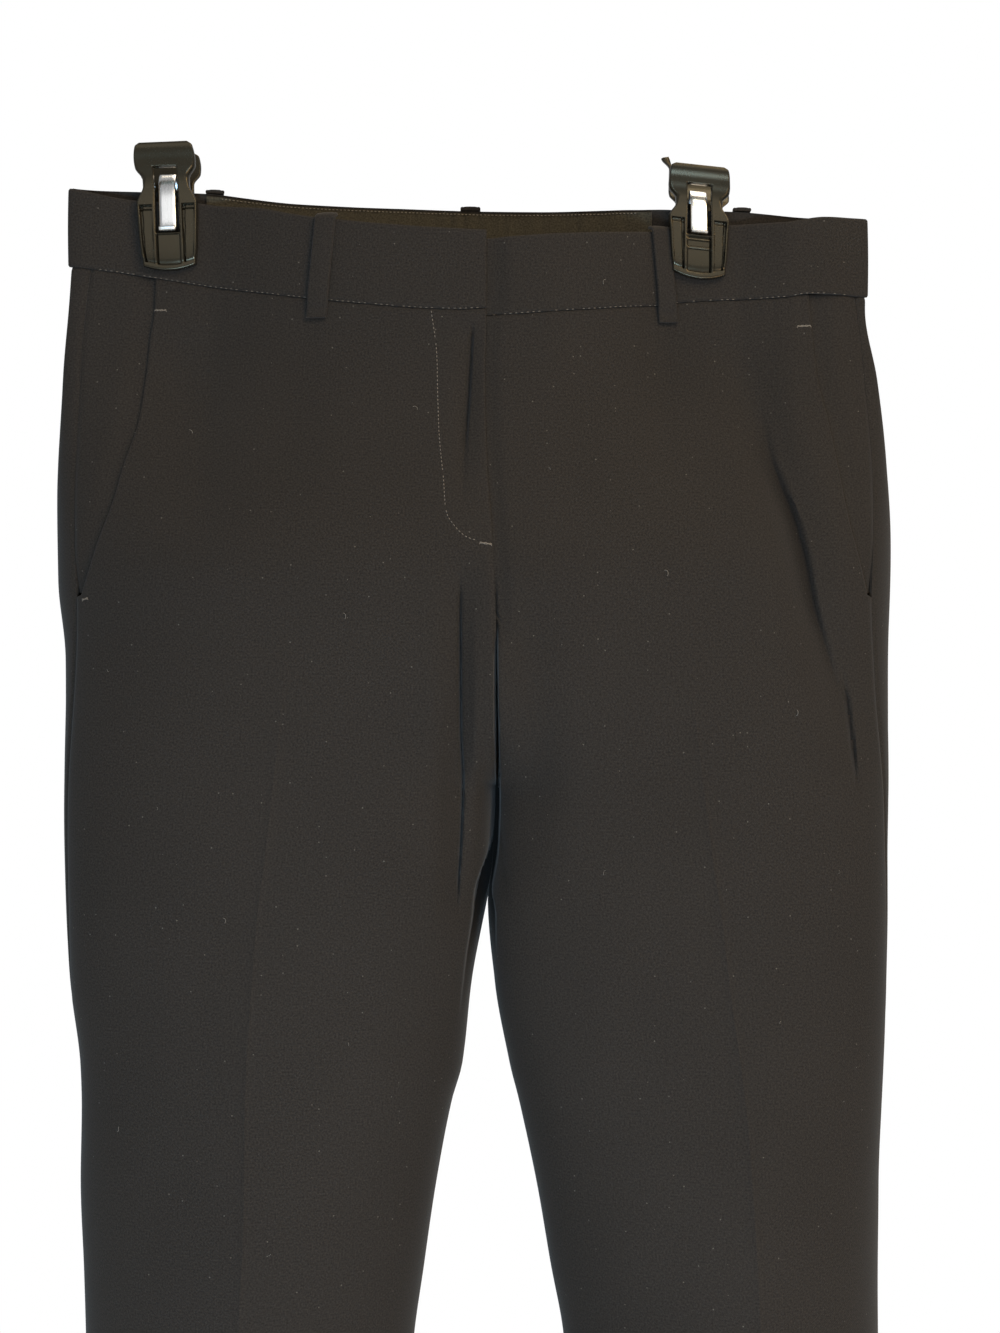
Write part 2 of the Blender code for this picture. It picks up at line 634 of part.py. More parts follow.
# The windows that the spring passes through: their first and last rows, and half their width.
Window = namedtuple("Window", "first last half")
FRONT_WINDOW = Window(3, 8, 5.9)
BACK_WINDOW = Window(4, 8, 4.7)
SPRING_HALF = 4.1
SPRING_STEEL_WALL = 0.8
# The bent spring's front half: the rest mirrors it behind.
SPRING_COURSE = [(11.6, -18.4), (10.4, -19.9), (8.8, -19.2), (7.9, -16.0), (7.3, -9.0), (6.6, -2.0),
                 (5.4, 3.2), (3.6, 6.8), (1.6, 8.7), (0, 9.2)]
# Where each clip rides, how it is turned in the front view, and how tall its upper part looks.
Clip = namedtuple("Clip", "name x z turn reach foot")
CLIPS = [
    Clip("clip_right", -152.6, 0.0, radians(2.4), 1.0, -39.0),
    Clip("clip_left", 110.4, -6.0, radians(-3.0), 0.77, -37.4),
]


def place_clip(clip, points):
    """A clip's own points, in its place on the rod."""
    points = np.asarray(points, dtype=float)
    z = points[..., 2]
    sill = JAW[FRONT_WINDOW.last].z
    below = sill * clip.reach + (z - sill) * (clip.foot - sill * clip.reach) / (JAW[-1].z - sill)
    z = np.where(z > sill, z * clip.reach, below)
    x = points[..., 0]
    turned_x = x * cos(clip.turn) - z * sin(clip.turn) + clip.x
    turned_z = x * sin(clip.turn) + z * cos(clip.turn) + clip.z
    return np.stack([turned_x, points[..., 1], turned_z], axis=-1)


def clip_jaw(clip, name, facing, window):
    """One jaw with its handle and the window that the spring shows through."""
    def face(depth_name):
        return np.array([[(x, facing * getattr(row, depth_name), row.z)
                          for x in (-row.half, -window.half, window.half, row.half)] for row in JAW])

    cut_out = [(row, 1) for row in range(window.first, window.last)]
    wall(name, place_clip(clip, face("outer")), place_clip(clip, face("inner")), BLACK_PLASTIC, cut_out)


def clip_spring(clip):
    """The flat spring, bent over the rod and through both windows."""
    front = [(-y, z) for y, z in SPRING_COURSE]
    path = np.array(front + [(-y, z) for y, z in reversed(front[:-1])])
    course = np.gradient(path, axis=0)
    course /= np.linalg.norm(course, axis=1, keepdims=True)
    aside = np.stack([course[:, 1], -course[:, 0]], axis=1) * SPRING_STEEL_WALL / 2

    def face(line):
        return np.array([[(x, y, z) for x in (-SPRING_HALF, SPRING_HALF)] for y, z in line])

    wall(clip.name + "_spring", place_clip(clip, face(path + aside)), place_clip(clip, face(path - aside)),
         SPRING_STEEL)


def main():
    for thing in list(bpy.data.objects):
        bpy.data.objects.remove(thing, do_unlink=True)
    for side in ("right", "left"):
        front_panel(side)
        back_panel(side)
        pocket_facing(side)
        waistband(side)
    waistband_facing()
    for loop in LOOPS:
        belt_loop(loop)
    for clip in CLIPS:
        clip_jaw(clip, clip.name + "_front_jaw", -1, FRONT_WINDOW)
        clip_jaw(clip, clip.name + "_back_jaw", 1, BACK_WINDOW)
        clip_spring(clip)


main()
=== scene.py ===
"""Straight-leg dress trousers hanging from two spring clips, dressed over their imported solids.

Tables and functions are in millimetres, meshes and settings in metres. +Z is up, the front faces
-Y and the wearer's right is at -X. The cloth's outer face is one smooth form for each side of the
body: a point has its height z and its place t round the section, which is 0 at the centre front
(the inseam, on a leg), 0.5 at the front crease, 1 at the side, 1.5 at the back crease and 2 at the
centre back. Every cloth piece is a fine shell on that form, so it lies where its solid lies.
"""

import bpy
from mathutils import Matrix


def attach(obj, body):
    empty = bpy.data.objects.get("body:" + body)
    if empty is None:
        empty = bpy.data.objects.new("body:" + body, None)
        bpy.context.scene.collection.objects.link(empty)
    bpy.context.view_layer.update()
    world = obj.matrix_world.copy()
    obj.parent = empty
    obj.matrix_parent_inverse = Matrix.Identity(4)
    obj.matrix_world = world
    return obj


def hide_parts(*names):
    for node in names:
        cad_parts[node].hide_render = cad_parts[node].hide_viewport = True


bl_info = {
    "name": "Dress Trousers on Clips",
    "version": (1, 0, 0),
    "blender": (4, 5, 0),
    "location": "3D View > Sidebar > Trousers",
    "description": "Builds hanging dress trousers with their stitching, clips and studio",
    "category": "Object",
}

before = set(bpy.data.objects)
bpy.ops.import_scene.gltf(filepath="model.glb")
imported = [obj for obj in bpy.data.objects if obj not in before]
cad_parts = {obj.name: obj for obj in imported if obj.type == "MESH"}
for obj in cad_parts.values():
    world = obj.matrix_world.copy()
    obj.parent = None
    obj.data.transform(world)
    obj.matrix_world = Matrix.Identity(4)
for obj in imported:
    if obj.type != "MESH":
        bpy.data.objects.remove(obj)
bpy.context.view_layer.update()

from collections import namedtuple
from math import cos, pi, radians, sin

import bpy
import numpy as np
from bpy.props import FloatProperty, FloatVectorProperty, IntProperty, PointerProperty
from bpy.types import Operator, Panel, PropertyGroup
from mathutils import Vector
from mathutils.bvhtree import BVHTree

MM = 0.001
SIDES = ("right", "left")
TOUCH = 0.3


def table(columns, rows):
    """Rows with named columns. A list or a dictionary of such tables keeps its form."""
    if isinstance(rows, dict):
        return {key: table(columns, part) for key, part in rows.items()}
    if isinstance(rows[0], list):
        return [table(columns, part) for part in rows]
    kind = namedtuple("Row", columns)
    return [kind(*row) for row in rows]


# Driving sizes of the cut, as in the solids.
BAND_WALL = 2.6
BAND_PROUD = 0.8
BAND_HEIGHT = 38.5
FACING_WALL = 1.0
FACING_END_X = -134.0
HEM_Z = -1052.0
CROTCH_Z = -292.0
FRONT_FORK_Z = -228.0
BACK_FORK_Z = -205.0
THIGH_TOP_Z = -205.0
THIGH_END_Z = -345.0
FLY_END_Z = -178.0
FLY_UNDERLAP = 6.0
FLY_STEP = 1.9
# The right front goes on lapping over the left one a little below the fly, as in the photo.
LAP_END_Z = -214.0
BAND_UNDERLAP = 12.0
BAND_STEP = 3.1
POCKET_END_Z = -199.0
FACING_STEP = 2.0
FACING_UNDERLAP = 9.0
LOOP_WIDTH = 10.0
LOOP_WALL = 1.6
# The dressed loops lie closer to the band than their solids do, as in the photo.
LOOP_GAP = 1.9

# Outline of each side from the front: the outermost side, the edge next to the other leg, and
# where the front and back creases lie.
OUTLINE = table("z side inner front_crease back_crease", {
    "right": [
        (4, -197.6, 9.0, -85.0, -85.0),
        (-37, -200.6, 9.0, -85.0, -85.0),
        (-57, -202.0, 9.0, -85.0, -85.0),
        (-92, -205.0, 9.0, -86.0, -86.0),
        (-151, -207.4, 9.0, -87.5, -88.0),
        (-191, -206.9, 9.0, -88.5, -90.0),
        (-230, -203.0, 9.2, -89.5, -92.0),
        (-290, -202.2, 9.2, -95.0, -96.0),
        (-330, -201.5, 7.2, -99.5, -97.0),
        (-349, -201.0, 3.4, -102.0, -98.5),
        (-388, -199.0, -2.9, -105.0, -101.0),
        (-428, -194.6, -7.4, -107.2, -102.0),
        (-447, -194.1, -12.8, -107.4, -104.0),
        (-487, -195.1, -20.7, -107.6, -108.0),
        (-527, -193.6, -26.2, -109.0, -110.0),
        (-562, -192.6, -31.6, -110.0, -113.0),
        (-700, -187.0, -44.0, -114.0, -117.0),
        (-1052, -180.0, -48.0, -112.0, -116.0),
    ],
    "left": [
        (4, 192.7, 10.2, 95.0, 95.0),
        (-37, 192.7, 10.2, 95.0, 95.0),
        (-57, 191.5, 10.2, 95.0, 95.0),
        (-92, 197.6, 10.2, 96.0, 96.0),
        (-131, 201.6, 10.2, 97.0, 97.0),
        (-171, 203.6, 10.2, 98.0, 98.0),
        (-230, 202.2, 9.8, 99.5, 99.0),
        (-290, 201.1, 9.8, 106.0, 104.0),
        (-330, 200.1, 8.4, 111.0, 103.0),
        (-349, 200.1, 5.8, 114.0, 102.0),
        (-388, 199.9, 7.9, 118.5, 102.0),
        (-428, 198.6, 15.3, 124.0, 102.0),
        (-447, 197.9, 20.3, 126.0, 103.0),
        (-487, 196.6, 28.7, 128.5, 105.0),
        (-527, 196.6, 35.6, 130.5, 107.0),
        (-562, 196.6, 42.0, 131.5, 109.0),
        (-700, 194.0, 53.0, 133.0, 113.0),
        (-1052, 189.0, 57.0, 130.0, 115.0),
    ],
})

# The centre front and centre back seams, and how far the front and back stand from the middle.
CENTRE = table("z front back", [
    (4, 4.6, -4.0),
    (-60, 4.4, -4.0),
    (-92, 3.8, -3.0),
    (-131, 4.6, 0.0),
    (-176, 7.6, 5.0),
    (-230, 9.4, 12.4),
    (-292, 9.5, 12.4),
])
DEPTH = table("z front back", [
    (4, 27.0, 22.0),
    (-60, 30.0, 25.0),
    (-100, 40.0, 37.0),
    (-150, 50.0, 52.0),
    (-200, 57.0, 61.0),
    (-250, 58.0, 62.0),
    (-300, 57.0, 60.0),
    (-350, 57.0, 59.0),
    (-450, 61.0, 63.0),
    (-562, 68.0, 70.0),
    (-700, 70.0, 72.0),
    (-1052, 73.0, 75.0),
])

# Section of a leg: crease 1 is round and 2 is a pressed edge, box 1 is round and 0.5 is square.
CORNER = table("z crease box", [
    (-230, 0.85, 0.60),
    (-292, 0.85, 0.60),
    (-350, 1.00, 0.62),
    (-420, 1.25, 0.72),
    (-500, 1.45, 0.85),
    (-562, 1.55, 0.92),
    (-1052, 1.60, 0.95),
])
# How far the inner thighs lean across each other, a share of the way forward, within a reach. Here
# the fronts lean to the right, so that no light shows above the fork.
LEAN = [(-325, -0.22), (-385, 0.0)]
LEAN_REACH = 18.0
BODY_BOX = 3.5
LAST_SEAM_T = 0.96
FOLD_BOX = 24
WAIST_FORM_Z = -50.0
HIP_FORM_Z = -190.0

# How far the pinched waist stands from the middle, across it. Both clips close it to PINCHED.
PINCHED = 2.9
WAIST = {
    "front": [(-201, PINCHED), (-172, PINCHED), (-134, PINCHED), (-120, 6), (-100, 11), (-70, 17.5),
              (-40, 22), (0, 25), (30, 24), (55, 18.5), (75, 10.5), (90, 3.5), (94, PINCHED),
              (127, PINCHED), (140, 5.5), (155, 8.8), (172, 7.6), (185, 4), (193, 3)],
    "back": [(-201, PINCHED), (-172, PINCHED), (-134, PINCHED), (-118, 6), (-100, 9.5), (-70, 14.5),
             (-40, 18), (0, 20.5), (30, 19), (55, 15), (78, 8.5), (91, 3.4), (94, PINCHED),
             (127, PINCHED), (140, 4.2), (158, 6), (175, 5), (193, 3)],
}

# The waistband's edges across the waist. Its right half ends higher, over the left half.
BAND_TOP = {
    "right": [(-201, 2.5), (-168, -3.9), (-138, -5.3), (-125, -7.2), (-106, -9.2), (-92, -12.4),
              (-80, -14.7), (-43, -19.4), (-1, -22.7), (6, -22.9)],
    "left": [(-10, -26.9), (6.6, -26.5), (30, -24.9), (83.6, -20.1), (110, -17.2), (132, -15.8),
             (150, -15.6), (170, -12.9), (193, -12.6)],
    "back": [(-201, 2.5), (-185, 1.6), (-138, 0.4), (-89, -3.0), (-36, -3.8), (17, -4.9),
             (71, -6.0), (95, -7.6), (131, -8.8), (170, -11.6), (193, -12.6)],
}
BAND_FOOT = {
    "right": [(-201, -36.0), (-188, -37.6), (-73, -55.3), (-46, -58.4), (-28, -60.1), (-8, -60.9),
              (6, -60.2)],
    "left": [(-10, -64.2), (5.6, -63.8), (54, -59.9), (72, -57.7), (87, -56.0), (100, -54.0),
             (123, -52.8), (150, -52.2), (163, -50.6), (185, -50.9), (193, -51.1)],
}

# The slant pocket's opening edge and the side seam, both on the front, and where each lies.
POCKET = {
    "right": [(-45, -159.0), (-62, -159.6), (-73, -161.6), (-89, -163.0), (-114, -165.6),
              (-134, -171.0), (-154, -175.4), (-171, -181.3), (-187, -186.6), (-200, -191.5)],
    "left": [(-45, 162.0), (-70, 164.0), (-93, 166.1), (-114, 170.6), (-136, 174.2), (-162, 178.7),
             (-181, 183.6), (-200, 188.4)],
}
SIDE_SEAM = {
    "right": [(4, -186.0), (-38, -188.5), (-57, -193.0), (-84, -195.6), (-137, -196.4),
              (-174, -195.2), (-200, -194.2), (-235, -195.0), (-300, -198.2), (-388, -197.4),
              (-470, -194.6), (-562, -192.6), (-1052, -180.0)],
    "left": [(4, 184.0), (-50, 186.5), (-75, 189.4), (-93, 190.8), (-114, 192.4), (-137, 193.1),
             (-174, 192.0), (-200, 190.8), (-235, 192.4), (-300, 196.6), (-388, 198.6),
             (-470, 197.2), (-562, 196.6), (-1052, 189.0)],
}

# Soft troughs pressed into the front and back: each row is a place along one.
BESIDE_FLY = [(-64, -2.5, 0, 6), (-78, -3.5, 2.6, 6), (-106, -4.5, 3.2, 6),
              (-128, -5.8, 2.6, 6), (-160, -7.0, 0, 6)]
TROUGHS = table("z x depth width", {
    ("right", "front"): [
        BESIDE_FLY,
        [(-176, -8.0, 0, 8), (-206, -7.8, 4.0, 8), (-247, -7.3, 6.0, 8),
         (-291, -6.4, 5.5, 8), (-330, -8.2, 4.0, 8), (-362, -9.5, 0, 8)],
        [(-60, -150, 0, 16), (-90, -146, 4.0, 18), (-130, -140, 3.0, 22),
         (-190, -134, 0, 24)],
    ],
    ("left", "front"): [
        BESIDE_FLY,
        [(-70, 128, 0, 14), (-100, 135, 4.0, 14), (-132, 143, 7.0, 14),
         (-163, 153, 7.5, 14), (-203, 161, 7.0, 14), (-245, 173.6, 5.0, 13),
         (-290, 182, 0, 12)],
        [(-190, 24, 0, 12), (-230, 26, 2.5, 12), (-280, 27, 2.5, 12),
         (-340, 22, 0, 12)],
    ],
    ("right", "back"): [
        [(-70, -146, 0, 16), (-110, -140, 6.0, 18), (-170, -128, 5.0, 20),
         (-240, -112, 0, 20)],
        [(-300, -30, 0, 16), (-330, -46, 4.5, 16), (-370, -62, 0, 16)],
    ],
    ("left", "back"): [
        [(-70, 112, 0, 16), (-110, 116, 6.0, 18), (-175, 126, 5.0, 20),
         (-250, 138, 0, 20)],
        [(-300, 34, 0, 16), (-332, 52, 4.5, 16), (-372, 70, 0, 16)],
    ],
})

# Narrow folds in the fronts, finer than the solids' troughs: how deep, and how far each reaches to
# the photo's left and right. A negative depth stands proud.
FOLDS = table("z x depth left right", {
    "right": [
        [(-67, -2.2, 0, 0.9, 0.7), (-77, -2.8, 2.4, 1.0, 0.7), (-105, -4.3, 3.0, 1.1, 0.8),
         (-121, -5.3, 2.6, 1.2, 0.8), (-132, -6.0, 1.0, 1.8, 1.0), (-158, -7.0, 0, 2.4, 1.6)],
        [(-192, -7.7, 0, 1.0, 0.8), (-206, -7.7, 2.8, 0.8, 0.6), (-230, -7.6, 4.4, 0.7, 0.5),
         (-263, -7.5, 5.0, 0.7, 0.5), (-286, -6.8, 5.0, 0.7, 0.5), (-302, -7.2, 5.0, 0.7, 0.5),
         (-319, -7.9, 4.6, 0.7, 0.5), (-336, -8.9, 3.2, 0.7, 0.5), (-350, -9.5, 0, 1.0, 0.8)],
        [(-200, -1.2, 0, 3.0, 3.0), (-240, -1.0, -1.4, 3.6, 3.0), (-300, -1.0, -1.8, 3.6, 3.0),
         (-334, -4.2, 0, 3.0, 3.0)],
    ],
    "left": [
        [(-104, 137.0, 0, 6.0, 3.0), (-118, 140.0, 1.0, 7.0, 2.0), (-132, 142.4, 2.2, 8.0, 1.3),
         (-149, 148.4, 3.8, 8.0, 1.0), (-163, 153.0, 4.4, 8.0, 1.0),
         (-184, 157.7, 4.2, 8.0, 1.0), (-203, 161.0, 3.6, 7.0, 1.0),
         (-221, 165.7, 2.2, 5.0, 1.1), (-250, 174.0, 0, 3.0, 1.5)],
        [(-306, 10.7, 0, 0.7, 0.7), (-316, 11.6, 1.6, 0.7, 0.7), (-334, 13.3, 1.6, 0.8, 0.8),
         (-350, 14.6, 0, 1.0, 1.0)],
        [(-238, 175.6, 0, 1.6, 0.8), (-250, 177.2, 2.6, 1.6, 0.7), (-272, 179.4, 3.2, 1.6, 0.7),
         (-296, 181.6, 0, 1.6, 0.8)],
    ],
})

# The dark line down the centre and the dark hollow above the fork: where each front rolls into it,
# and what share of the way to the inseam it is sunk beyond that, and painted shade as dark as that share.
HOLLOWS = table("z x share", {
    "right": [(-216, 8.6, 0), (-232, 8.6, 0.25), (-262, 8.7, 0.50),
              (-290, 9.1, 0.85), (-302, 8.8, 0.94), (-310, 8.3, 0.95),
              (-318, 6.9, 0.95), (-326.6, 3.9, 0.95), (-334.5, 0.8, 0.95),
              (-342.5, -1.4, 0.92), (-352, -2.2, 0.80), (-372, -5.3, 0.35),
              (-400, -8.5, 0)],
    "left": [(-190, 9.4, 0), (-210, 9.6, 0.05), (-232, 9.9, 0.15),
             (-262, 10.3, 0.50), (-290, 10.9, 0.85), (-302, 11.1, 0.94),
             (-310, 10.8, 0.95), (-318, 10.5, 0.95), (-326.6, 9.7, 0.95),
             (-334.5, 8.1, 0.90), (-342.5, 7.0, 0.70), (-352, 8.8, 0.40),
             (-370, 9.0, 0)],
})
HOLLOW_ROLL = {"right": 1.0, "left": 0.5}
# The way along X from each half of the body towards the other.
INWARD_X = {"right": 1, "left": -1}

# Each belt loop: where its top and its bottom lie, on which side and face.
LOOPS = table("name side back top_x foot_x width", [
    ("belt_loop_front_right", "right", False, -72.9, -77.9, LOOP_WIDTH),
    ("belt_loop_front_left", "left", False, 89.0, 93.6, LOOP_WIDTH),
    ("belt_loop_back_right", "right", True, -130.4, -130.4, LOOP_WIDTH - 1),
    ("belt_loop_back_left", "left", True, 130.8, 130.8, LOOP_WIDTH - 1),
    ("belt_loop_back_centre", "right", True, -4.0, -4.0, LOOP_WIDTH),
])
# A loop's course: height above the band's foot or its top edge, and how far it stands off.
COURSE = table("edge height gap", [
    ("foot", -9.5, 0.85),
    ("foot", -5.0, 0.95),
    ("foot", -1.5, 1.9),
    ("foot", 3.0, LOOP_GAP + BAND_PROUD - 0.2),
    ("foot", 9.0, LOOP_GAP + BAND_PROUD),
    ("top", -9.0, LOOP_GAP + BAND_PROUD),
    ("top", -3.0, LOOP_GAP + BAND_PROUD - 0.2),
    ("top", 0.2, 1.5 + BAND_PROUD),
    ("top", 1.8, 0.0),
    ("top", 1.8, -1.4),
])

# A clip's jaw, front view: half its width, the face towards the cloth and the outer face.
JAW = table("z half inner outer", [
    (22.6, 11.8, 11.0, 13.6),
    (20.8, 14.0, 10.2, 13.8),
    (14.0, 15.0, 7.8, 12.2),
    (11.2, 14.8, 7.0, 11.6),
    (6.0, 11.6, 5.6, 10.4),
    (2.0, 11.4, 5.0, 10.0),
    (-3.5, 13.8, 4.1, 9.8),
    (-6.0, 14.7, 4.0, 9.8),
    (-20.9, 14.2, 4.0, 9.6),
    (-33.5, 13.2, 4.0, 9.0),
    (-37.6, 11.6, 4.0, 7.6),
    (-39.0, 9.0, 4.0, 6.2),
])
WINDOW_SILL = -20.9
# The spring's window in each jaw: its top, its sill and half its width.
Window = namedtuple("Window", "top sill half")
FRONT_WINDOW = Window(11.2, WINDOW_SILL, 5.9)
# The solids' back window reaches 6.0, but the photo shows no light through either clip.
BACK_WINDOW = Window(-7.0, WINDOW_SILL, 4.7)
SPRING_HALF = 4.1
SPRING_STEEL_WALL = 0.8
# The bent spring's front half: the rest mirrors it behind.
SPRING_COURSE = [(11.6, -18.4), (10.4, -19.9), (8.8, -19.2), (7.9, -16.0), (7.3, -9.0),
                 (6.6, -2.0), (5.4, 3.2), (3.6, 6.8), (1.6, 8.7), (0, 9.2)]
# Where each clip rides, how its level and its upright lines are turned in the front view, how tall
# its upper part looks, how far down its neck is set and where its foot ends. Each recess is deepest
# along one side, dark_side: 1 is towards +X.
CLIPS = table("name x z turn lean reach drop foot dark_side", [
    ("clip_right", -152.6, 0.0, radians(2.4), radians(2.4), 1.0, 0.0, -39.0, -1),
    ("clip_left", 108.5, -6.0, radians(-6.2), 0.0, 0.77, 3.9, -37.4, 1),
])

# Fineness of the cloth's shells.
BESIDE_MARK = np.array([0.3, 0.8, 1.6, 3.0])
FRONT_FILL = {"right": [9, 6, 30, 32], "left": [9, 34, 24, 16]}
ROW_STEP = 4.0
UNDER_BAND_ROWS = 14
BAND_ROWS = 14
SAMPLES = 300
# How far a dressed panel is drawn in at each seam.
SEAM_BACK = 0.08
# Below this height a panel's rows lie level. Above it they follow the waistband's foot.
LEVEL_TOP_Z = -80.0
# The seams' dips fade out about the fork, where four panels meet.
FORK_X = 8.0
FORK_Z = -300.0
FORK_REACH = 40.0
# The slow waves in the cloth, and the one whose height counts as 1.
RIPPLE_LENGTHS = (34.0, 47.0, 61.0, 83.0, 118.0, 170.0)
RIPPLE_MIDDLE = 118.0
# How far below its end a lap runs out.
LAP_RUN_OUT = 12.0
# The pressed creases set in here and are full this much lower.
CREASE_TOP_Z = -215.0
CREASE_RUN_IN = 110.0
HEM_TURN_UP = 38.0
# A fold this deep gets the full painted shade in the cloth's colour.
FULL_SHADE_DEPTH = 8.0


def length(name, description, default, **limits):
    return FloatProperty(name=name, description=description, default=default, unit="LENGTH", **limits)


def power(name, description, default):
    return FloatProperty(name=name, description=description, default=default, unit="POWER")


def colour(name, description, *default):
    return FloatVectorProperty(name=name, description=description, subtype="COLOR", size=4,
                               default=(*default, 1))


class TrouserCloth(PropertyGroup):
    wall: length("Cloth", "Thickness of the cloth", 0.0014, min=0.0005, max=0.003)
    seam_roll: length("Seam roll", "How far the cloth dips into a seam", 0.0008)
    edge_round: length("Edge round", "How far a folded edge rounds over", 0.0005)
    crease_ridge: length("Crease ridge", "Height of the pressed creases", 0.0008)
    ripple: length("Ripple", "Height of the slow waves in the cloth", 0.00045)
    pucker: length("Pucker", "Height of the puckers under the waistband", 0.00022)
    ripple_seed: IntProperty(name="Ripple seed", description="Picks the slow waves", default=7)


class TrouserStitching(PropertyGroup):
    thickness: length("Thread", "Radius of a stitch", 0.00017)
    length: length("Stitch", "Length of a stitch", 0.0012)
    pitch: length("Pitch", "Distance between stitches", 0.0020)
    seed: IntProperty(name="Seed", description="Picks which stitches sink out of sight", default=4)


class TrouserFinishes(PropertyGroup):
    cloth: colour("Cloth", "Colour of the wool", 0.0178, 0.0155, 0.0136)
    lining: colour("Facing", "Colour inside the waistband", 0.040, 0.0350, 0.0240)
    thread: colour("Thread", "Colour of the sewing thread", 0.14, 0.120, 0.096)
    plastic: colour("Plastic", "Colour of the clips", 0.012, 0.0112, 0.0085)
    steel: colour("Steel", "Colour of the springs", 0.86, 0.88, 0.90)
    lint: colour("Lint", "Colour of stray fibres", 0.20, 0.19, 0.17)
    twill_pitch: length("Twill pitch", "Distance between twill lines", 0.0008)


class TrouserStudio(PropertyGroup):
    key: power("Key light", "Power of the warm main light", 11.6)
    fill: power("Fill light", "Power of the cool fill light", 18.0)
    glow: power("Low light", "Power of the low warm light", 4.0)
    top: power("Top light", "Power of the light above", 11.0)
    edge: power("Edge light", "Power of the small light on the clips' edges", 1.2)
    card: power("Front card", "Power of the broad card behind the camera", 7.0)
    sky: FloatProperty(name="Surroundings", description="Brightness of the white room", default=0.34)
    floor: length("Floor", "Width of the floor", 2.9)


def settings(group):
    return getattr(bpy.context.scene, group)


# The form, as in the solids.
def follow(points, at):
    """A smooth curve through (position, value) points, which never overshoots them."""
    place, value = np.array(sorted(points), dtype=float).T
    gap = np.diff(place)
    rise = np.diff(value) / gap
    slope = np.concatenate(([rise[0]], np.zeros(len(rise) - 1), [rise[-1]]))
    steady = rise[:-1] * rise[1:] > 0
    before, after = rise[:-1][steady], rise[1:][steady]
    slope[1:-1][steady] = 2 * before * after / (before + after)
    at = np.clip(at, place[0], place[-1])
    i = np.clip(np.searchsorted(place, at, side="right") - 1, 0, len(gap) - 1)
    f = (at - place[i]) / gap[i]
    start = (1 + 2 * f) * (1 - f) ** 2 * value[i] + f * (1 - f) ** 2 * gap[i] * slope[i]
    end = f * f * (3 - 2 * f) * value[i + 1] + f * f * (f - 1) * gap[i] * slope[i + 1]
    return start + end


def along(rows, name, z):
    """One named column of a table, at the heights z."""
    return follow([(row.z, getattr(row, name)) for row in rows], z)


def ease(x):
    """0 below 0, 1 above 1, and a soft step between."""
    x = np.clip(x, 0, 1)
    return x * x * (3 - 2 * x)


def bell(off, width):
    """1 at 0, falling softly towards 0 on both sides within a few widths."""
    return np.exp(-(off / width) ** 2)


def distance_along(points):
    """How far each of a line's points is along it."""
    return np.concatenate([[0], np.cumsum(np.linalg.norm(np.diff(points, axis=0), axis=1))])


def front_or_back(t, front, back):
    return np.where(t <= 1, front, back)


def form(side, t, z):
    """The cloth's outer face before its folds: an array of x, y, z points."""
    t, z = np.broadcast_arrays(np.asarray(t, dtype=float), np.asarray(z, dtype=float))
    rows = OUTLINE[side]
    round_t = front_or_back(t, t, 2 - t)
    face = front_or_back(t, -along(DEPTH, "front", z), along(DEPTH, "back", z))
    crease_x = front_or_back(t, along(rows, "front_crease", z), along(rows, "back_crease", z))
    centre_x = front_or_back(t, along(CENTRE, "front", z), along(CENTRE, "back", z))
    side_x = along(rows, "side", z)
    inner_x = along(rows, "inner", z)
    inward = np.clip(round_t / 0.5, 0, 1) * pi / 2
    outward = np.clip((round_t - 0.5) / 0.5, 0, 1) * pi / 2
    by_centre = round_t < 0.5

    body_x = np.where(by_centre, centre_x + (crease_x - centre_x) * round_t / 0.5,
                      crease_x + (side_x - crease_x) * np.sin(outward))
    across = np.clip(np.abs((body_x - centre_x) / (side_x - centre_x)), 0, 1)
    hip_y = face * np.sqrt(1 - across ** BODY_BOX)
    waist = front_or_back(t, -follow(WAIST["front"], body_x), follow(WAIST["back"], body_x))
    waist_y = waist * np.sqrt(1 - across ** FOLD_BOX)
    hip_share = ease((WAIST_FORM_Z - z) / (WAIST_FORM_Z - HIP_FORM_Z))
    body_y = waist_y + (hip_y - waist_y) * hip_share

    crease = along(CORNER, "crease", z)
    box = along(CORNER, "box", z)
    leg_x = crease_x + np.where(by_centre, (inner_x - crease_x) * np.cos(inward) ** crease,
                                (side_x - crease_x) * np.sin(outward) ** crease)
    leg_y = face * np.where(by_centre, np.sin(inward) ** box, np.cos(outward) ** box)
    leg_x -= by_centre * follow(LEAN, z) * leg_y * bell(leg_y, LEAN_REACH)

    fork_z = front_or_back(t, FRONT_FORK_Z, BACK_FORK_Z)
    down = np.clip((fork_z - z) / (fork_z - CROTCH_Z), 0, 1)
    fork_share = 1 - np.sqrt(1 - down ** 2)
    outer_share = ease((THIGH_TOP_Z - z) / (THIGH_TOP_Z - THIGH_END_Z))
    leg_share = fork_share + (outer_share - fork_share) * ease(round_t / 0.45)
    x = body_x + (leg_x - body_x) * leg_share
    y = body_y + (leg_y - body_y) * leg_share
    return np.stack([x, y, z], axis=-1)


def trough_depth(side, t, point):
    """How deep the soft troughs press the cloth in at each point."""
    x, z = point[..., 0], point[..., 2]
    depth = np.zeros_like(x)
    for face, here in (("front", t <= 1), ("back", t > 1)):
        for rows in TROUGHS[side, face]:
            share = bell(x - along(rows, "x", z), along(rows, "width", z))
            depth += here * along(rows, "depth", z) * share
    return depth


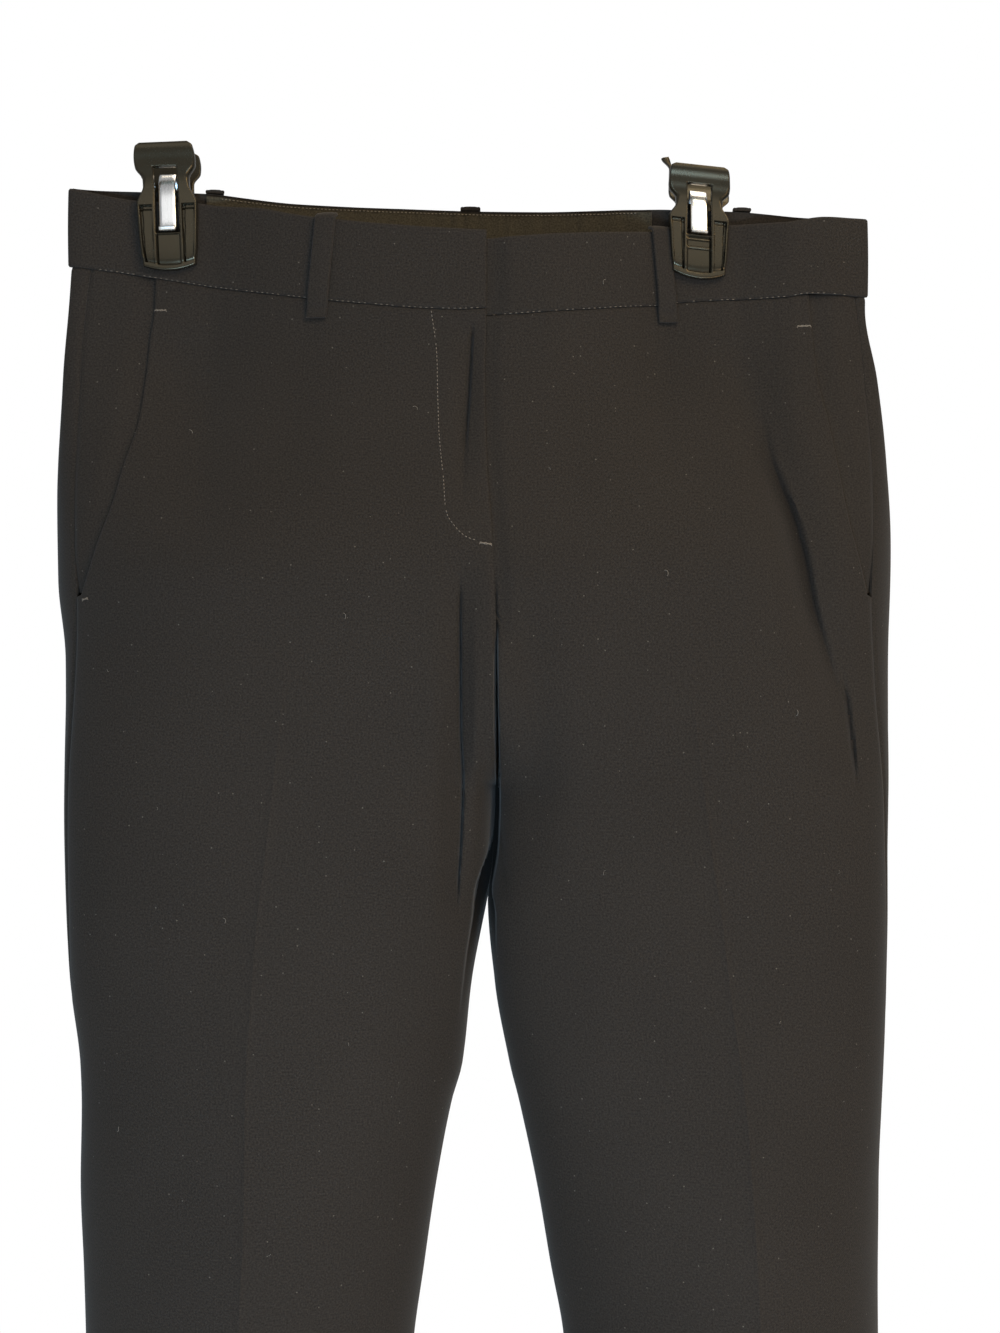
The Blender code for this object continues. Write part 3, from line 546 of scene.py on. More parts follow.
def cloth(side, t, z, out=0.0):
    """Points on the outer face, or out millimetres off it along its normal, folds included."""
    t, z = np.broadcast_arrays(np.asarray(t, dtype=float), np.asarray(z, dtype=float))
    t_step, z_step = 0.002, 0.5
    point = form(side, t, z)
    round_it = form(side, t + t_step, z) - form(side, t - t_step, z)
    down_it = form(side, t, z - z_step) - form(side, t, z + z_step)
    normal = np.cross(round_it, down_it) * INWARD_X[side]
    normal /= np.linalg.norm(normal, axis=-1, keepdims=True)
    off = np.asarray(out) - trough_depth(side, t, point)
    return point + normal * off[..., None]


def t_at(side, edge, z):
    """Where, on the front, the form at height z reaches the x that the edge's table gives."""
    t = np.linspace(0.5, 1.0, 401)
    x = np.abs(form(side, t, z)[:, 0])
    return min(np.interp(abs(follow(edge, z)), x, t), LAST_SEAM_T)


def band_edge(side, t, top):
    """Height of the waistband's top or bottom edge."""
    x = form(side, t, WAIST_FORM_Z)[..., 0]
    back = follow(BAND_TOP["back"], x)
    if top:
        return front_or_back(t, follow(BAND_TOP[side], x), back)
    return front_or_back(t, follow(BAND_FOOT[side], x), back - BAND_HEIGHT)


def waist_t(side, x, back):
    """t of a place x on the waistband's front or back."""
    fine = np.linspace(1, 2.1, 1101) if back else np.linspace(-0.1, 1, 1101)
    reached = form(side, fine, WAIST_FORM_Z)[:, 0]
    order = np.argsort(reached)
    return np.interp(x, reached[order], fine[order])


# Fine shells on the form.
Shell = namedtuple("Shell", "t z from_start from_end from_crease")


def places_between(marks, fill):
    """Distances along one row: close together beside each mark and even between them."""
    places = [marks[0]]
    for near, far, count in zip(marks, marks[1:], fill):
        beside = BESIDE_MARK * min(1.0, 0.3 * (far - near) / BESIDE_MARK[-1])
        gap = far - near - 2 * beside[-1]
        places.extend(near + beside)
        places.extend(near + beside[-1] + gap * np.arange(1, count) / count)
        places.extend(far - beside[::-1])
        places.append(far)
    return np.array(places)


def row_of(side, start, end, marks_t, crease_t, fill, height):
    """One row of a shell, with its distances in millimetres from both ends and the crease."""
    fine = np.linspace(start, end, SAMPLES)
    points = form(side, fine, height(fine))
    reach = distance_along(points)
    marks = [0.0] + [float(np.interp(mark, fine, reach)) for mark in marks_t] + [reach[-1]]
    places = places_between(marks, fill)
    t = np.interp(places, reach, fine)
    from_crease = places - np.interp(crease_t, fine, reach)
    return t, height(t), places, reach[-1] - places, from_crease


def panel_levels():
    """Pairs for each row: the height its seams are read at, and how it lies below the waistband."""
    rows = [(WAIST_FORM_Z + (LEVEL_TOP_Z - WAIST_FORM_Z) * down, down) for down in
            np.concatenate([[0, 0.012, 0.04, 0.09], np.linspace(0.16, 1, UNDER_BAND_ROWS)])]
    hem = [HEM_Z + beside for beside in BESIDE_MARK[::-1]] + [HEM_Z]
    count = round((LEVEL_TOP_Z - hem[0]) / ROW_STEP)
    body = np.linspace(LEVEL_TOP_Z, hem[0], count + 1)[1:-1]
    near = (POCKET_END_Z, POCKET_END_Z - 1.0)
    levels = sorted([z for z in body if min(abs(z - other) for other in near) > 1.2] + list(near),
                    reverse=True) + hem
    return rows + [(float(z), None) for z in levels]


def panel(side, start_of, end_of, marks_of, crease_t, fill, levels):
    """The grid of a panel from under the waistband down to its last level."""
    rows = []
    for near_z, down in levels:
        if down is None:
            def height(t, z=near_z):
                return np.full_like(np.asarray(t, dtype=float), z)
        else:
            def height(t, down=down):
                under = band_edge(side, t, top=False) - TOUCH
                return under + (LEVEL_TOP_Z - under) * down
        rows.append(row_of(side, start_of(near_z), end_of(near_z), marks_of(near_z), crease_t, fill,
                           height))
    return Shell(*(np.array(values) for values in zip(*rows)))


def ripple(point):
    """Slow waves over the whole garment, in shares of their height."""
    rng = np.random.default_rng(settings("trouser_cloth").ripple_seed)
    total = np.zeros(point.shape[:-1])
    for wave in RIPPLE_LENGTHS:
        for _ in range(2):
            turn = rng.normal(0, 0.32) + (pi / 2 if rng.random() < 0.25 else 0)
            way = np.array([cos(turn), 0.5 * rng.normal(), sin(turn)])
            height = (wave / RIPPLE_MIDDLE) ** 0.7
            total += height * np.sin(2 * pi * point @ way / wave + rng.random() * 6.3)
    return total / 4.0


def relief(side, shell, roll_start=1.0, roll_end=1.0, round_start=0.0, round_end=0.0, crease=1.0):
    """How far the shell's outer face stands off the form, seam rolls and pressed creases included."""
    look = settings("trouser_cloth")
    point = form(side, shell.t, shell.z)
    out = look.ripple / MM * ripple(point)
    under = band_edge(side, shell.t, top=False) - shell.z
    arc = shell.from_crease
    pucker = np.sin(arc / 1.35 + 1.7 * np.sin(arc / 9.0)) * np.exp(-np.maximum(under, 0) / 9.0)
    out += look.pucker / MM * pucker
    out -= look.seam_roll / MM * 0.6 * bell(under, 1.2)
    by_fork = np.where(np.abs(point[..., 0] - FORK_X) < FORK_REACH,
                       ease(np.abs(shell.z - FORK_Z) / 50.0 - 0.6), 1.0)
    for distance, roll, turn in ((shell.from_start, roll_start * by_fork, round_start),
                                 (shell.from_end, roll_end * by_fork, round_end)):
        out -= roll * look.seam_roll / MM * bell(distance, 1.5)
        out -= turn * look.edge_round / MM * bell(distance, 0.45)
    crease = crease * ease((CREASE_TOP_Z - shell.z) / CREASE_RUN_IN)
    out += look.crease_ridge / MM * crease * np.exp(-np.abs(shell.from_crease) / 1.8)
    out -= 0.22 * bell(shell.z - HEM_Z - HEM_TURN_UP, 1.3) * (1 + 0.5 * np.sin(arc * 1.1))
    return out


def fold_depth(fold, x, z, narrow=1.0):
    """How deep a narrow fold is at each place of the front view."""
    off = x - along(fold, "x", z)
    reach = np.where(off < 0, along(fold, "left", z), along(fold, "right", z))
    return along(fold, "depth", z) * np.exp(-narrow * (off / reach) ** 2)


def hollow_share(side, x, z):
    """How far each place of a front is sunk into the hollow above the fork, as a share."""
    rows = HOLLOWS[side]
    beyond = (x - along(rows, "x", z)) * INWARD_X[side]
    return along(rows, "share", z) * ease(beyond / HOLLOW_ROLL[side] + 0.5)


def pressed(side, point):
    """Points of a front with its narrow folds and its hollow above the fork pressed straight back."""
    x, z = point[..., 0], point[..., 2]
    moved = point.copy()
    for fold in FOLDS[side]:
        moved[..., 1] += fold_depth(fold, x, z) * ease(-point[..., 1] / 8.0)
    moved[..., 1] *= 1 - hollow_share(side, x, z) * (point[..., 1] < 0)
    return moved


def paint_fold_shade(side, piece):
    """Writes painted shade for the cloth's colour: how deep each point of a front lies in a narrow fold or in
    the hollow above the fork.
    """
    mesh = piece.data
    point = np.empty(3 * len(mesh.vertices))
    mesh.vertices.foreach_get("co", point)
    x, _, z = point.reshape(-1, 3).T / MM
    # Painted shade: the hollow's share, raised to a narrow fold's depth over the full-shade depth where that
    # is more.
    deep = hollow_share(side, x, z)
    for fold in FOLDS[side]:
        deep = np.maximum(deep, fold_depth(fold, x, z, narrow=2.0) / FULL_SHADE_DEPTH)
    mesh.attributes.new("Deep", "FLOAT", "POINT").data.foreach_set("value", deep.astype(np.float32))


def course_t(side, folds, z):
    """t of the folds' course on the front at height z."""
    rows = [row for fold in folds for row in fold]
    fine = np.linspace(0.03, 0.95, 400)
    across = np.abs(cloth(side, fine, z)[:, 0] - along(rows, "x", z))
    return float(fine[np.argmin(across)])


def linked(name, data):
    """A new object in the scene."""
    thing = bpy.data.objects.new(name, data)
    bpy.context.scene.collection.objects.link(thing)
    return thing


def mesh_object(name, points, faces, material, uv=None):
    """A mesh in the row frame from points in millimetres, smooth and with its faces outwards."""
    points = np.asarray(points, dtype=float) * MM
    volume = 0
    for triangle in ([0, 1, 2], [0, 2, 3]):
        a, b, c = (points[faces[:, corner]] for corner in triangle)
        volume += np.einsum("ij,ij->i", a, np.cross(b, c)).sum()
    if volume < 0:
        faces = faces[:, ::-1]
    mesh = bpy.data.meshes.new(name)
    mesh.from_pydata(points.tolist(), [], faces.tolist())
    if uv is not None:
        layer = mesh.uv_layers.new(name="Cut")
        layer.data.foreach_set("uv", (uv[faces.ravel()] * MM).ravel().astype(np.float32))
    mesh.validate()
    mesh.shade_smooth()
    mesh.set_sharp_from_angle(angle=radians(55))
    mesh.materials.append(material)
    return linked(name, mesh)


def closed_shell(name, outer, inner, material, uv=None, open_cells=None):
    """A closed shell between two grids of points. open_cells is True where it is cut through."""
    rows, columns = outer.shape[:2]
    count = rows * columns
    number = np.arange(count).reshape(rows, columns)
    filled = np.ones((rows - 1, columns - 1), dtype=bool)
    if open_cells is not None:
        filled &= ~open_cells
    a, b = number[:-1, :-1], number[1:, :-1]
    c, d = number[1:, 1:], number[:-1, 1:]
    cells = np.stack([a, b, c, d], axis=-1)[filled]
    faces = [cells, cells[:, ::-1] + count]
    framed = np.pad(filled, 1)
    for shift, near, far in (((0, -1), a, b), ((1, 0), b, c), ((0, 1), c, d), ((-1, 0), d, a)):
        beside = framed[1 + shift[0]:framed.shape[0] - 1 + shift[0],
                        1 + shift[1]:framed.shape[1] - 1 + shift[1]]
        bare = filled & ~beside
        near, far = near[bare], far[bare]
        faces.append(np.stack([far, near, near + count, far + count], axis=-1))
    faces = np.concatenate(faces)
    used, faces = np.unique(faces, return_inverse=True)
    faces = faces.reshape(-1, 4)
    points = np.concatenate([outer.reshape(-1, 3), inner.reshape(-1, 3)])[used]
    if uv is not None:
        uv = np.concatenate([uv.reshape(-1, 2)] * 2)[used]
    return mesh_object(name, points, faces, material, uv)


def set_back(grid, first=True):
    """A grid with its last column, and its first, drawn in, so that neighbours stay clear."""
    drawn = grid.copy()
    for end, beside in ((-1, -2), (0, 1))[:2 if first else 1]:
        into = grid[:, beside] - grid[:, end]
        drawn[:, end] += SEAM_BACK * into / np.linalg.norm(into, axis=-1, keepdims=True)
    return drawn


def dress(node, made_of, slot, outer, inner, material, uv=None, open_cells=None, **cut):
    """A finished piece in a node's place: where it rides, its finish, and the cut of its cloth, which is not
    used.
    """
    piece = closed_shell(node + "_" + made_of, outer, inner, material, uv, open_cells)
    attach(piece, "root")
    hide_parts(node)
    return piece


def added_on(piece):
    """Hangs trim that stands for no solid from the root."""
    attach(piece, "root")


def both_halves(part):
    """The names of a part's two dressed pieces."""
    return [part + "_" + side + "_cloth" for side in SIDES]


# Shader groups and materials.
def built_once(kept, name):
    """Marks a function that builds something under a name, which bpy.data then keeps for later."""
    def mark(build):
        def fetch():
            store = getattr(bpy.data, kept)
            return store[name] if name in store else build(name)
        return fetch
    return mark


def empty_tree(name, kind, inputs, outputs):
    """A node group with its sockets; returns it with its input and output nodes."""
    tree = bpy.data.node_groups.new(name, kind)
    for way, sockets in (("INPUT", inputs), ("OUTPUT", outputs)):
        for label, form_of, *default in sockets:
            socket = tree.interface.new_socket(name=label, in_out=way, socket_type="NodeSocket" + form_of)
            if default:
                socket.default_value = default[0]
    return tree, tree.nodes.new("NodeGroupInput"), tree.nodes.new("NodeGroupOutput")


def feed(tree, node, inputs):
    """Sets or links some of a node's inputs, by name or number."""
    for key, value in inputs.items():
        if isinstance(value, bpy.types.NodeSocket):
            tree.links.new(value, node.inputs[key])
        else:
            node.inputs[key].default_value = value
    return node


def add_node(tree, kind, inputs=None, **values):
    """A node with its properties set and its inputs set or linked."""
    node = tree.nodes.new(kind)
    for key, value in values.items():
        setattr(node, key, value)
    return feed(tree, node, inputs or {})


def calculate(tree, operation, *values):
    return add_node(tree, "ShaderNodeMath", dict(enumerate(values)), operation=operation).outputs[0]


def noise(tree, place, scale, detail, **others):
    inputs = {"Vector": place, "Scale": scale, "Detail": detail, **others}
    return add_node(tree, "ShaderNodeTexNoise", inputs).outputs["Fac"]


@built_once("node_groups", "Twill weave")
def twill_weave(name):
    """Diagonal twill lines, broken up by the yarns that cross them."""
    group, given, result = empty_tree(name, "ShaderNodeTree", [("Cut", "Vector"), ("Pitch", "Float", 0.0011)],
                                      [("Height", "Float"), ("Tint", "Float")])
    cut, pitch = given.outputs["Cut"], given.outputs["Pitch"]
    place = add_node(group, "ShaderNodeSeparateXYZ", {"Vector": cut})
    across, up = place.outputs["X"], place.outputs["Y"]

    def lines(course, turn):
        turns = calculate(group, "DIVIDE", course, pitch)
        return calculate(group, "SINE", calculate(group, "MULTIPLY", turns, turn))

    line = lines(calculate(group, "ADD", calculate(group, "MULTIPLY", across, 0.74), up), 2 * pi)
    yarn = lines(calculate(group, "SUBTRACT", across, calculate(group, "MULTIPLY", up, 0.2)), 4 * pi)
    uneven = noise(group, cut, 1150.0, 3.0)
    woven = calculate(group, "MULTIPLY_ADD", yarn, 0.35, line)
    grain = calculate(group, "MULTIPLY_ADD", uneven, 3.4, -1.2)
    feed(group, result, {"Height": calculate(group, "MULTIPLY_ADD", woven, 0.30, uneven),
                         "Tint": calculate(group, "MULTIPLY_ADD", woven, 0.10, grain)})
    return group


@built_once("node_groups", "Uneven shade")
def uneven_shade(name):
    """Broad and fine unevenness of a dyed or moulded surface, around 0.5."""
    group, given, result = empty_tree(name, "ShaderNodeTree", [
        ("Place", "Vector"), ("Broad", "Float", 14.0), ("Fine", "Float", 260.0)],
        [("Shade", "Float"), ("Grain", "Float")])
    broad = noise(group, given.outputs["Place"], given.outputs["Broad"], 3.0)
    fine = noise(group, given.outputs["Place"], given.outputs["Fine"], 4.0, Roughness=0.65)
    both = calculate(group, "ADD", calculate(group, "MULTIPLY", broad, 0.6),
                     calculate(group, "MULTIPLY", fine, 0.4))
    feed(group, result, {"Shade": both, "Grain": fine})
    return group


@built_once("node_groups", "Stray specks")
def stray_specks(name):
    """Tiny pale specks of lint, thinly strewn."""
    group, given, result = empty_tree(name, "ShaderNodeTree", [
        ("Place", "Vector"), ("Density", "Float", 300.0), ("Size", "Float", 0.10)], [("Speck", "Float")])
    cells = add_node(group, "ShaderNodeTexVoronoi", {"Vector": given.outputs["Place"],
                                                     "Scale": given.outputs["Density"]})
    near = calculate(group, "LESS_THAN", cells.outputs["Distance"], given.outputs["Size"])
    tint = add_node(group, "ShaderNodeSeparateColor", {"Color": cells.outputs["Color"]})
    chosen = calculate(group, "GREATER_THAN", tint.outputs["Red"], 0.88)
    feed(group, result, {"Speck": calculate(group, "MULTIPLY", near, chosen)})
    return group


def grouped(tree, group, **inputs):
    return add_node(tree, "ShaderNodeGroup", inputs, node_tree=group).outputs


def mixed(tree, share, first, second):
    """One colour or another by a share."""
    return add_node(tree, "ShaderNodeMix", {0: share, 6: first, 7: second}, data_type="RGBA").outputs[2]


def shaded(color, share):
    return (*(value * share for value in color[:3]), 1)


def raised(tree, strength, distance, height):
    """The normal of a surface with fine relief."""
    inputs = {"Strength": strength, "Distance": distance, "Height": height}
    return add_node(tree, "ShaderNodeBump", inputs).outputs["Normal"]


def blank_material(name, color, roughness, metallic=0.0, **constants):
    """A material with its shader's constants set; returns it with its tree, shader and place."""
    material = bpy.data.materials.new(name)
    material.use_nodes = True
    tree = material.node_tree
    shader = feed(tree, tree.nodes["Principled BSDF"], {
        "Base Color": color, "Roughness": roughness, "Metallic": metallic,
        **{key.replace("_", " "): value for key, value in constants.items()}})
    material.diffuse_color = color
    return material, tree, shader, add_node(tree, "ShaderNodeTexCoord").outputs["Object"]


# How far painted shade darkens the cloth's colour in its deepest folds and the hollow, and the colour of its
# lint.
PAINTED_FOLD_SHADE = 0.9
SPECK_COLOR = (0.16, 0.15, 0.13, 1)


def woven_material(name, color, pitch, sheen, depth, specks):
    """Cloth: a twill in its own cut coordinates, uneven dye, a little lint and painted shade in deep folds.
    """
    material, tree, shader, place = blank_material(name, color, 0.88, Sheen_Weight=sheen,
                                                   Sheen_Roughness=0.45, Specular_IOR_Level=0.20)
    cut = add_node(tree, "ShaderNodeUVMap", uv_map="Cut")
    weave = grouped(tree, twill_weave(), Cut=cut.outputs["UV"], Pitch=pitch)
    dye = grouped(tree, uneven_shade(), Place=place)
    stain = calculate(tree, "MULTIPLY", dye["Shade"], 0.42)
    tint = calculate(tree, "MULTIPLY_ADD", weave["Tint"], 0.62, stain)
    dyed = mixed(tree, tint, shaded(color, 0.42), shaded(color, 1.66))
    lint = grouped(tree, stray_specks(), Place=place)
    flecked = mixed(tree, calculate(tree, "MULTIPLY", lint["Speck"], specks), dyed, SPECK_COLOR)
    # Painted shade: the cloth's colour is mixed towards black where a front lies deep in a fold or in the
    # hollow above the fork.
    deep = add_node(tree, "ShaderNodeAttribute", attribute_name="Deep")
    sunk = calculate(tree, "MULTIPLY", deep.outputs["Fac"], PAINTED_FOLD_SHADE)
    height = calculate(tree, "MULTIPLY_ADD", dye["Grain"], 0.6, weave["Height"])
    feed(tree, shader, {"Base Color": mixed(tree, sunk, flecked, (0, 0, 0, 1)),
                        "Roughness": calculate(tree, "MULTIPLY_ADD", dye["Grain"], 0.14, 0.80),
                        "Normal": raised(tree, 0.35, depth, height)})
    return material


@built_once("materials", "wool twill")
def cloth_material(name):
    finish = settings("trouser_finishes")
    return woven_material(name, tuple(finish.cloth), finish.twill_pitch, 0.07, 0.00012, 0.5)


@built_once("materials", "facing twill")
def facing_material(name):
    finish = settings("trouser_finishes")
    return woven_material(name, tuple(finish.lining), finish.twill_pitch * 0.7, 0.10, 0.0001, 0.3)


@built_once("materials", "sewing thread")
def thread_material(name):
    """Sewing thread: two twisted plies."""
    color = tuple(settings("trouser_finishes").thread)
    material, tree, shader, place = blank_material(name, color, 0.6, Sheen_Weight=0.2)
    dye = grouped(tree, uneven_shade(), Place=place, Broad=30.0, Fine=2400.0)
    feed(tree, shader, {"Base Color": mixed(tree, dye["Shade"], shaded(color, 0.6), shaded(color, 1.5)),
                        "Normal": raised(tree, 0.4, 0.00008, dye["Grain"])})
    return material


@built_once("materials", "lint fibre")
def lint_material(name):
    color = tuple(settings("trouser_finishes").lint)
    material, tree, shader, place = blank_material(name, color, 0.9)
    dye = grouped(tree, uneven_shade(), Place=place)
    feed(tree, shader, {"Base Color": mixed(tree, dye["Grain"], shaded(color, 0.6), shaded(color, 1.4))})
    return material


@built_once("materials", "clip moulding")
def plastic_material(name):
    """Glossy black moulding with faint flow marks and handling scuffs."""
    color = tuple(settings("trouser_finishes").plastic)
    material, tree, shader, place = blank_material(name, color, 0.24, Specular_IOR_Level=0.5,
                                                   Specular_Tint=(1.0, 0.86, 0.60, 1))
    flow = grouped(tree, uneven_shade(), Place=place, Broad=60.0, Fine=900.0)
    feed(tree, shader, {"Base Color": mixed(tree, flow["Shade"], shaded(color, 0.7), shaded(color, 1.5)),
                        "Roughness": calculate(tree, "MULTIPLY_ADD", flow["Shade"], 0.10, 0.18),
                        "Normal": raised(tree, 0.07, 0.00008, flow["Grain"])})
    return material


@built_once("materials", "spring steel")
def steel_material(name):
    """Bright spring steel with lines from rolling, along the strip."""
    color = tuple(settings("trouser_finishes").steel)
    material, tree, shader, place = blank_material(name, color, 0.24, 1.0)
    drawn = add_node(tree, "ShaderNodeMapping", {"Vector": place, "Scale": (1.0, 0.06, 0.06)})
    lines = grouped(tree, uneven_shade(), Place=drawn.outputs["Vector"], Broad=90.0, Fine=3200.0)
    feed(tree, shader, {"Base Color": mixed(tree, lines["Shade"], shaded(color, 0.7), shaded(color, 1.15)),
                        "Roughness": calculate(tree, "MULTIPLY_ADD", lines["Grain"], 0.22, 0.14),
                        "Normal": raised(tree, 0.2, 0.00005, lines["Grain"])})
    return material


# Cloth pieces.
def front_edge(side, z):
    """t at the front's outer edge: the pocket's opening, then the side seam."""
    return t_at(side, POCKET[side] if z >= POCKET_END_Z else SIDE_SEAM[side], z)


def fly_share(z, end, length):
    """1 along the fly, falling to 0 at its end."""
    return ease((np.asarray(z) - end) / length)


def two_faces(side, shell, out):
    """A panel's outer face, out millimetres off the form, and its inner face behind it."""
    wall = settings("trouser_cloth").wall / MM
    return [cloth(side, shell.t, shell.z, out - deeper) for deeper in (0, wall)]


def panel_piece(name, side, shell, faces, flat, area, first=True):
    """A panel under its half of the waistband, drawn in where it meets its neighbours."""
    outer, inner = (set_back(face, first=first) for face in faces)
    cut = np.stack([shell.from_crease, shell.z], axis=-1)
    return dress(name, "cloth", "trouser_cloth", outer, inner, cloth_material(), cut, flat=flat,
                 area=area, rests_on=["waistband_" + side + "_cloth"])


def build_front(side):
    """A front, from the centre to the pocket's edge. The left one also runs under the fly."""
    def start_of(z):
        if side == "right":
            return 0.0
        width = along(OUTLINE[side], "front_crease", z) - along(CENTRE, "front", z)
        return -0.5 * FLY_UNDERLAP / width * fly_share(z, LAP_END_Z, 8)

    def marks_of(z):
        hollow = course_t(side, [HOLLOWS[side]], z)
        if side == "right":
            return [hollow, max(course_t(side, FOLDS[side][:2], z), hollow + 0.03), 0.5]
        return [hollow, 0.5, min(course_t(side, FOLDS[side][:1], z), front_edge(side, z) - 0.02)]

    shell = panel(side, start_of, lambda z: front_edge(side, z), marks_of, 0.5, FRONT_FILL[side],
                  panel_levels())
    step = np.zeros_like(shell.z)
    if side == "left":
        past = form(side, shell.t, shell.z)[..., 0] - along(CENTRE, "front", shell.z)
        lapped = fly_share(shell.z, LAP_END_Z - LAP_RUN_OUT, LAP_RUN_OUT)
        step = FLY_STEP * (1 - ease((past - 1.0) / 8.0)) * lapped
    pocket = fly_share(shell.z, POCKET_END_Z - 1, 1.0)
    on_fly = fly_share(shell.z, FLY_END_Z - LAP_RUN_OUT / 2, LAP_RUN_OUT) if side == "right" else 0.0
    out = relief(side, shell, roll_start=1 - on_fly, round_start=on_fly, roll_end=1 - pocket,
                 round_end=pocket)
    faces = [pressed(side, face) for face in two_faces(side, shell, out - step)]
    piece = panel_piece("front_" + side, side, shell, faces, flat=(0.27, 1.0), area=0.2)
    # Painted shade in the cloth's colour, in the deep folds and the hollow above the fork.
    paint_fold_shade(side, piece)


def build_back(side):
    """A back, from the side seam, round the side, to the centre back."""
    shell = panel(side, lambda z: t_at(side, SIDE_SEAM[side], z), lambda z: 2.0, lambda z: [1.0, 1.5],
                  1.5, [4, 26, 28], panel_levels())
    faces = two_faces(side, shell, relief(side, shell))
    panel_piece("back_" + side, side, shell, faces, flat=(0.31, 1.0), area=0.25)


def build_pocket_facing(side):
    """The side piece under the slant pocket, from behind the opening edge to the side seam."""
    def start_of(z):
        edge = t_at(side, POCKET[side], z)
        beside = form(side, np.array([edge - 0.01, edge]), z)
        return edge - 0.01 * FACING_UNDERLAP / np.linalg.norm(beside[1] - beside[0])

    levels = [row for row in panel_levels() if row[0] > POCKET_END_Z + 1] + [(POCKET_END_Z + 1, None)]
    shell = panel(side, start_of, lambda z: t_at(side, SIDE_SEAM[side], z), lambda z: [], 0.5,
                  [18], levels)
    edge = np.array([t_at(side, POCKET[side], z) for z, _ in levels])[:, None]
    edge_point = form(side, np.broadcast_to(edge, shell.t.shape), shell.z)
    shown = np.linalg.norm(form(side, shell.t, shell.z) - edge_point, axis=-1) * (shell.t > edge)
    step = FACING_STEP * (1 - ease((shown - 2.0) / 12.0))
    faces = two_faces(side, shell, relief(side, shell, roll_start=0.0, crease=0.0) - step)
    panel_piece("pocket_facing_" + side, side, shell, faces, flat=(0.05, 0.16), area=0.005, first=False)


def band_rows(low, high, count):
    """Heights of a band's rows: close together beside both edges and even between them."""
    beside = np.concatenate([[0], BESIDE_MARK])
    share = np.linspace(0, 1, count + 1)[1:-1]
    span = high - low
    rows = [low + b for b in beside]
    rows += [low + beside[-1] + (span - 2 * beside[-1]) * s for s in share]
    rows += [high - b for b in beside[::-1]]
    return np.array(rows)


# A band half's marks by t, each with finer columns beside it, and how many columns lie between.
BAND_MARKS = [0.5, 0.97, 1.03, 1.5]
BAND_FILL = [44, 44, 2, 44, 44]
# On the wearer's left the band's foot stands out a little, towards the side.
FOOT_BULGE = 1.1
FOOT_BULGE_X = 170.0


def build_waistband(side):
    """Half of the waistband: folded at its top edge and turned under at its ends."""
    look = settings("trouser_cloth")
    centre = along(CENTRE, "front", WAIST_FORM_Z)
    start = waist_t(side, centre - (BAND_UNDERLAP if side == "left" else 0.0), False)
    t, _, from_start, from_end, u = row_of(
        side, start, 2.0, BAND_MARKS, 1.0, BAND_FILL,
        lambda at: np.full_like(np.asarray(at, dtype=float), WAIST_FORM_Z))
    foot, top = band_edge(side, t, top=False), band_edge(side, t, top=True)
    z = band_rows(foot, top, BAND_ROWS)
    t = np.broadcast_to(t, z.shape)
    level = np.full_like(z, WAIST_FORM_Z)
    step = np.zeros_like(z)
    if side == "left":
        past = form(side, t, level)[..., 0] - along(CENTRE, "front", level)
        step = BAND_STEP * (1 - ease((past - 2.0) / 11.0)) * (t < 1)
    rise = (z - foot) / (top - foot)
    soft = form(side, t, level)
    soft[..., 2] = z
    # Slow waves and a slight bow, then rounded edges, a dip at the seam and puckers along the foot.
    out = BAND_PROUD + look.ripple / MM * 0.8 * ripple(soft) + 0.25 * np.sin(pi * rise)
    for distance in (z - foot, top - z, from_start):
        out -= look.edge_round / MM * 1.1 * bell(distance, 0.5)
    out -= look.seam_roll / MM * bell(from_end, 1.4)
    out += 0.12 * np.sin(u / 1.9 + 1.3 * np.sin(u / 13.0)) * np.exp(-(z - foot) / 6.0)
    if side == "left":
        bulge = FOOT_BULGE * bell(soft[..., 0] - FOOT_BULGE_X, 14.0)
        out += bulge * np.exp(-(z - foot) / 9.0) * (t < 1)

    def face(off):
        grid = cloth(side, t, level, off)
        grid[..., 2] = z
        return set_back(grid)

    uv = np.stack([np.broadcast_to(u, z.shape), z], axis=-1)
    inner = face(np.minimum(out, BAND_PROUD) - step - BAND_WALL)
    dress("waistband_" + side, "cloth", "trouser_cloth", face(out - step), inner, cloth_material(), uv,
          flat=(0.43, 0.0385), area=0.0160)


# Where the facing ends on the left, by t, and its three deepest wrinkles.
FACING_END_T = 1.54
WRINKLES = table("x spread turn", [(-10.0, 8.0, 2.0), (16.0, 5.0, 1.7), (48.0, 6.0, 2.3)])


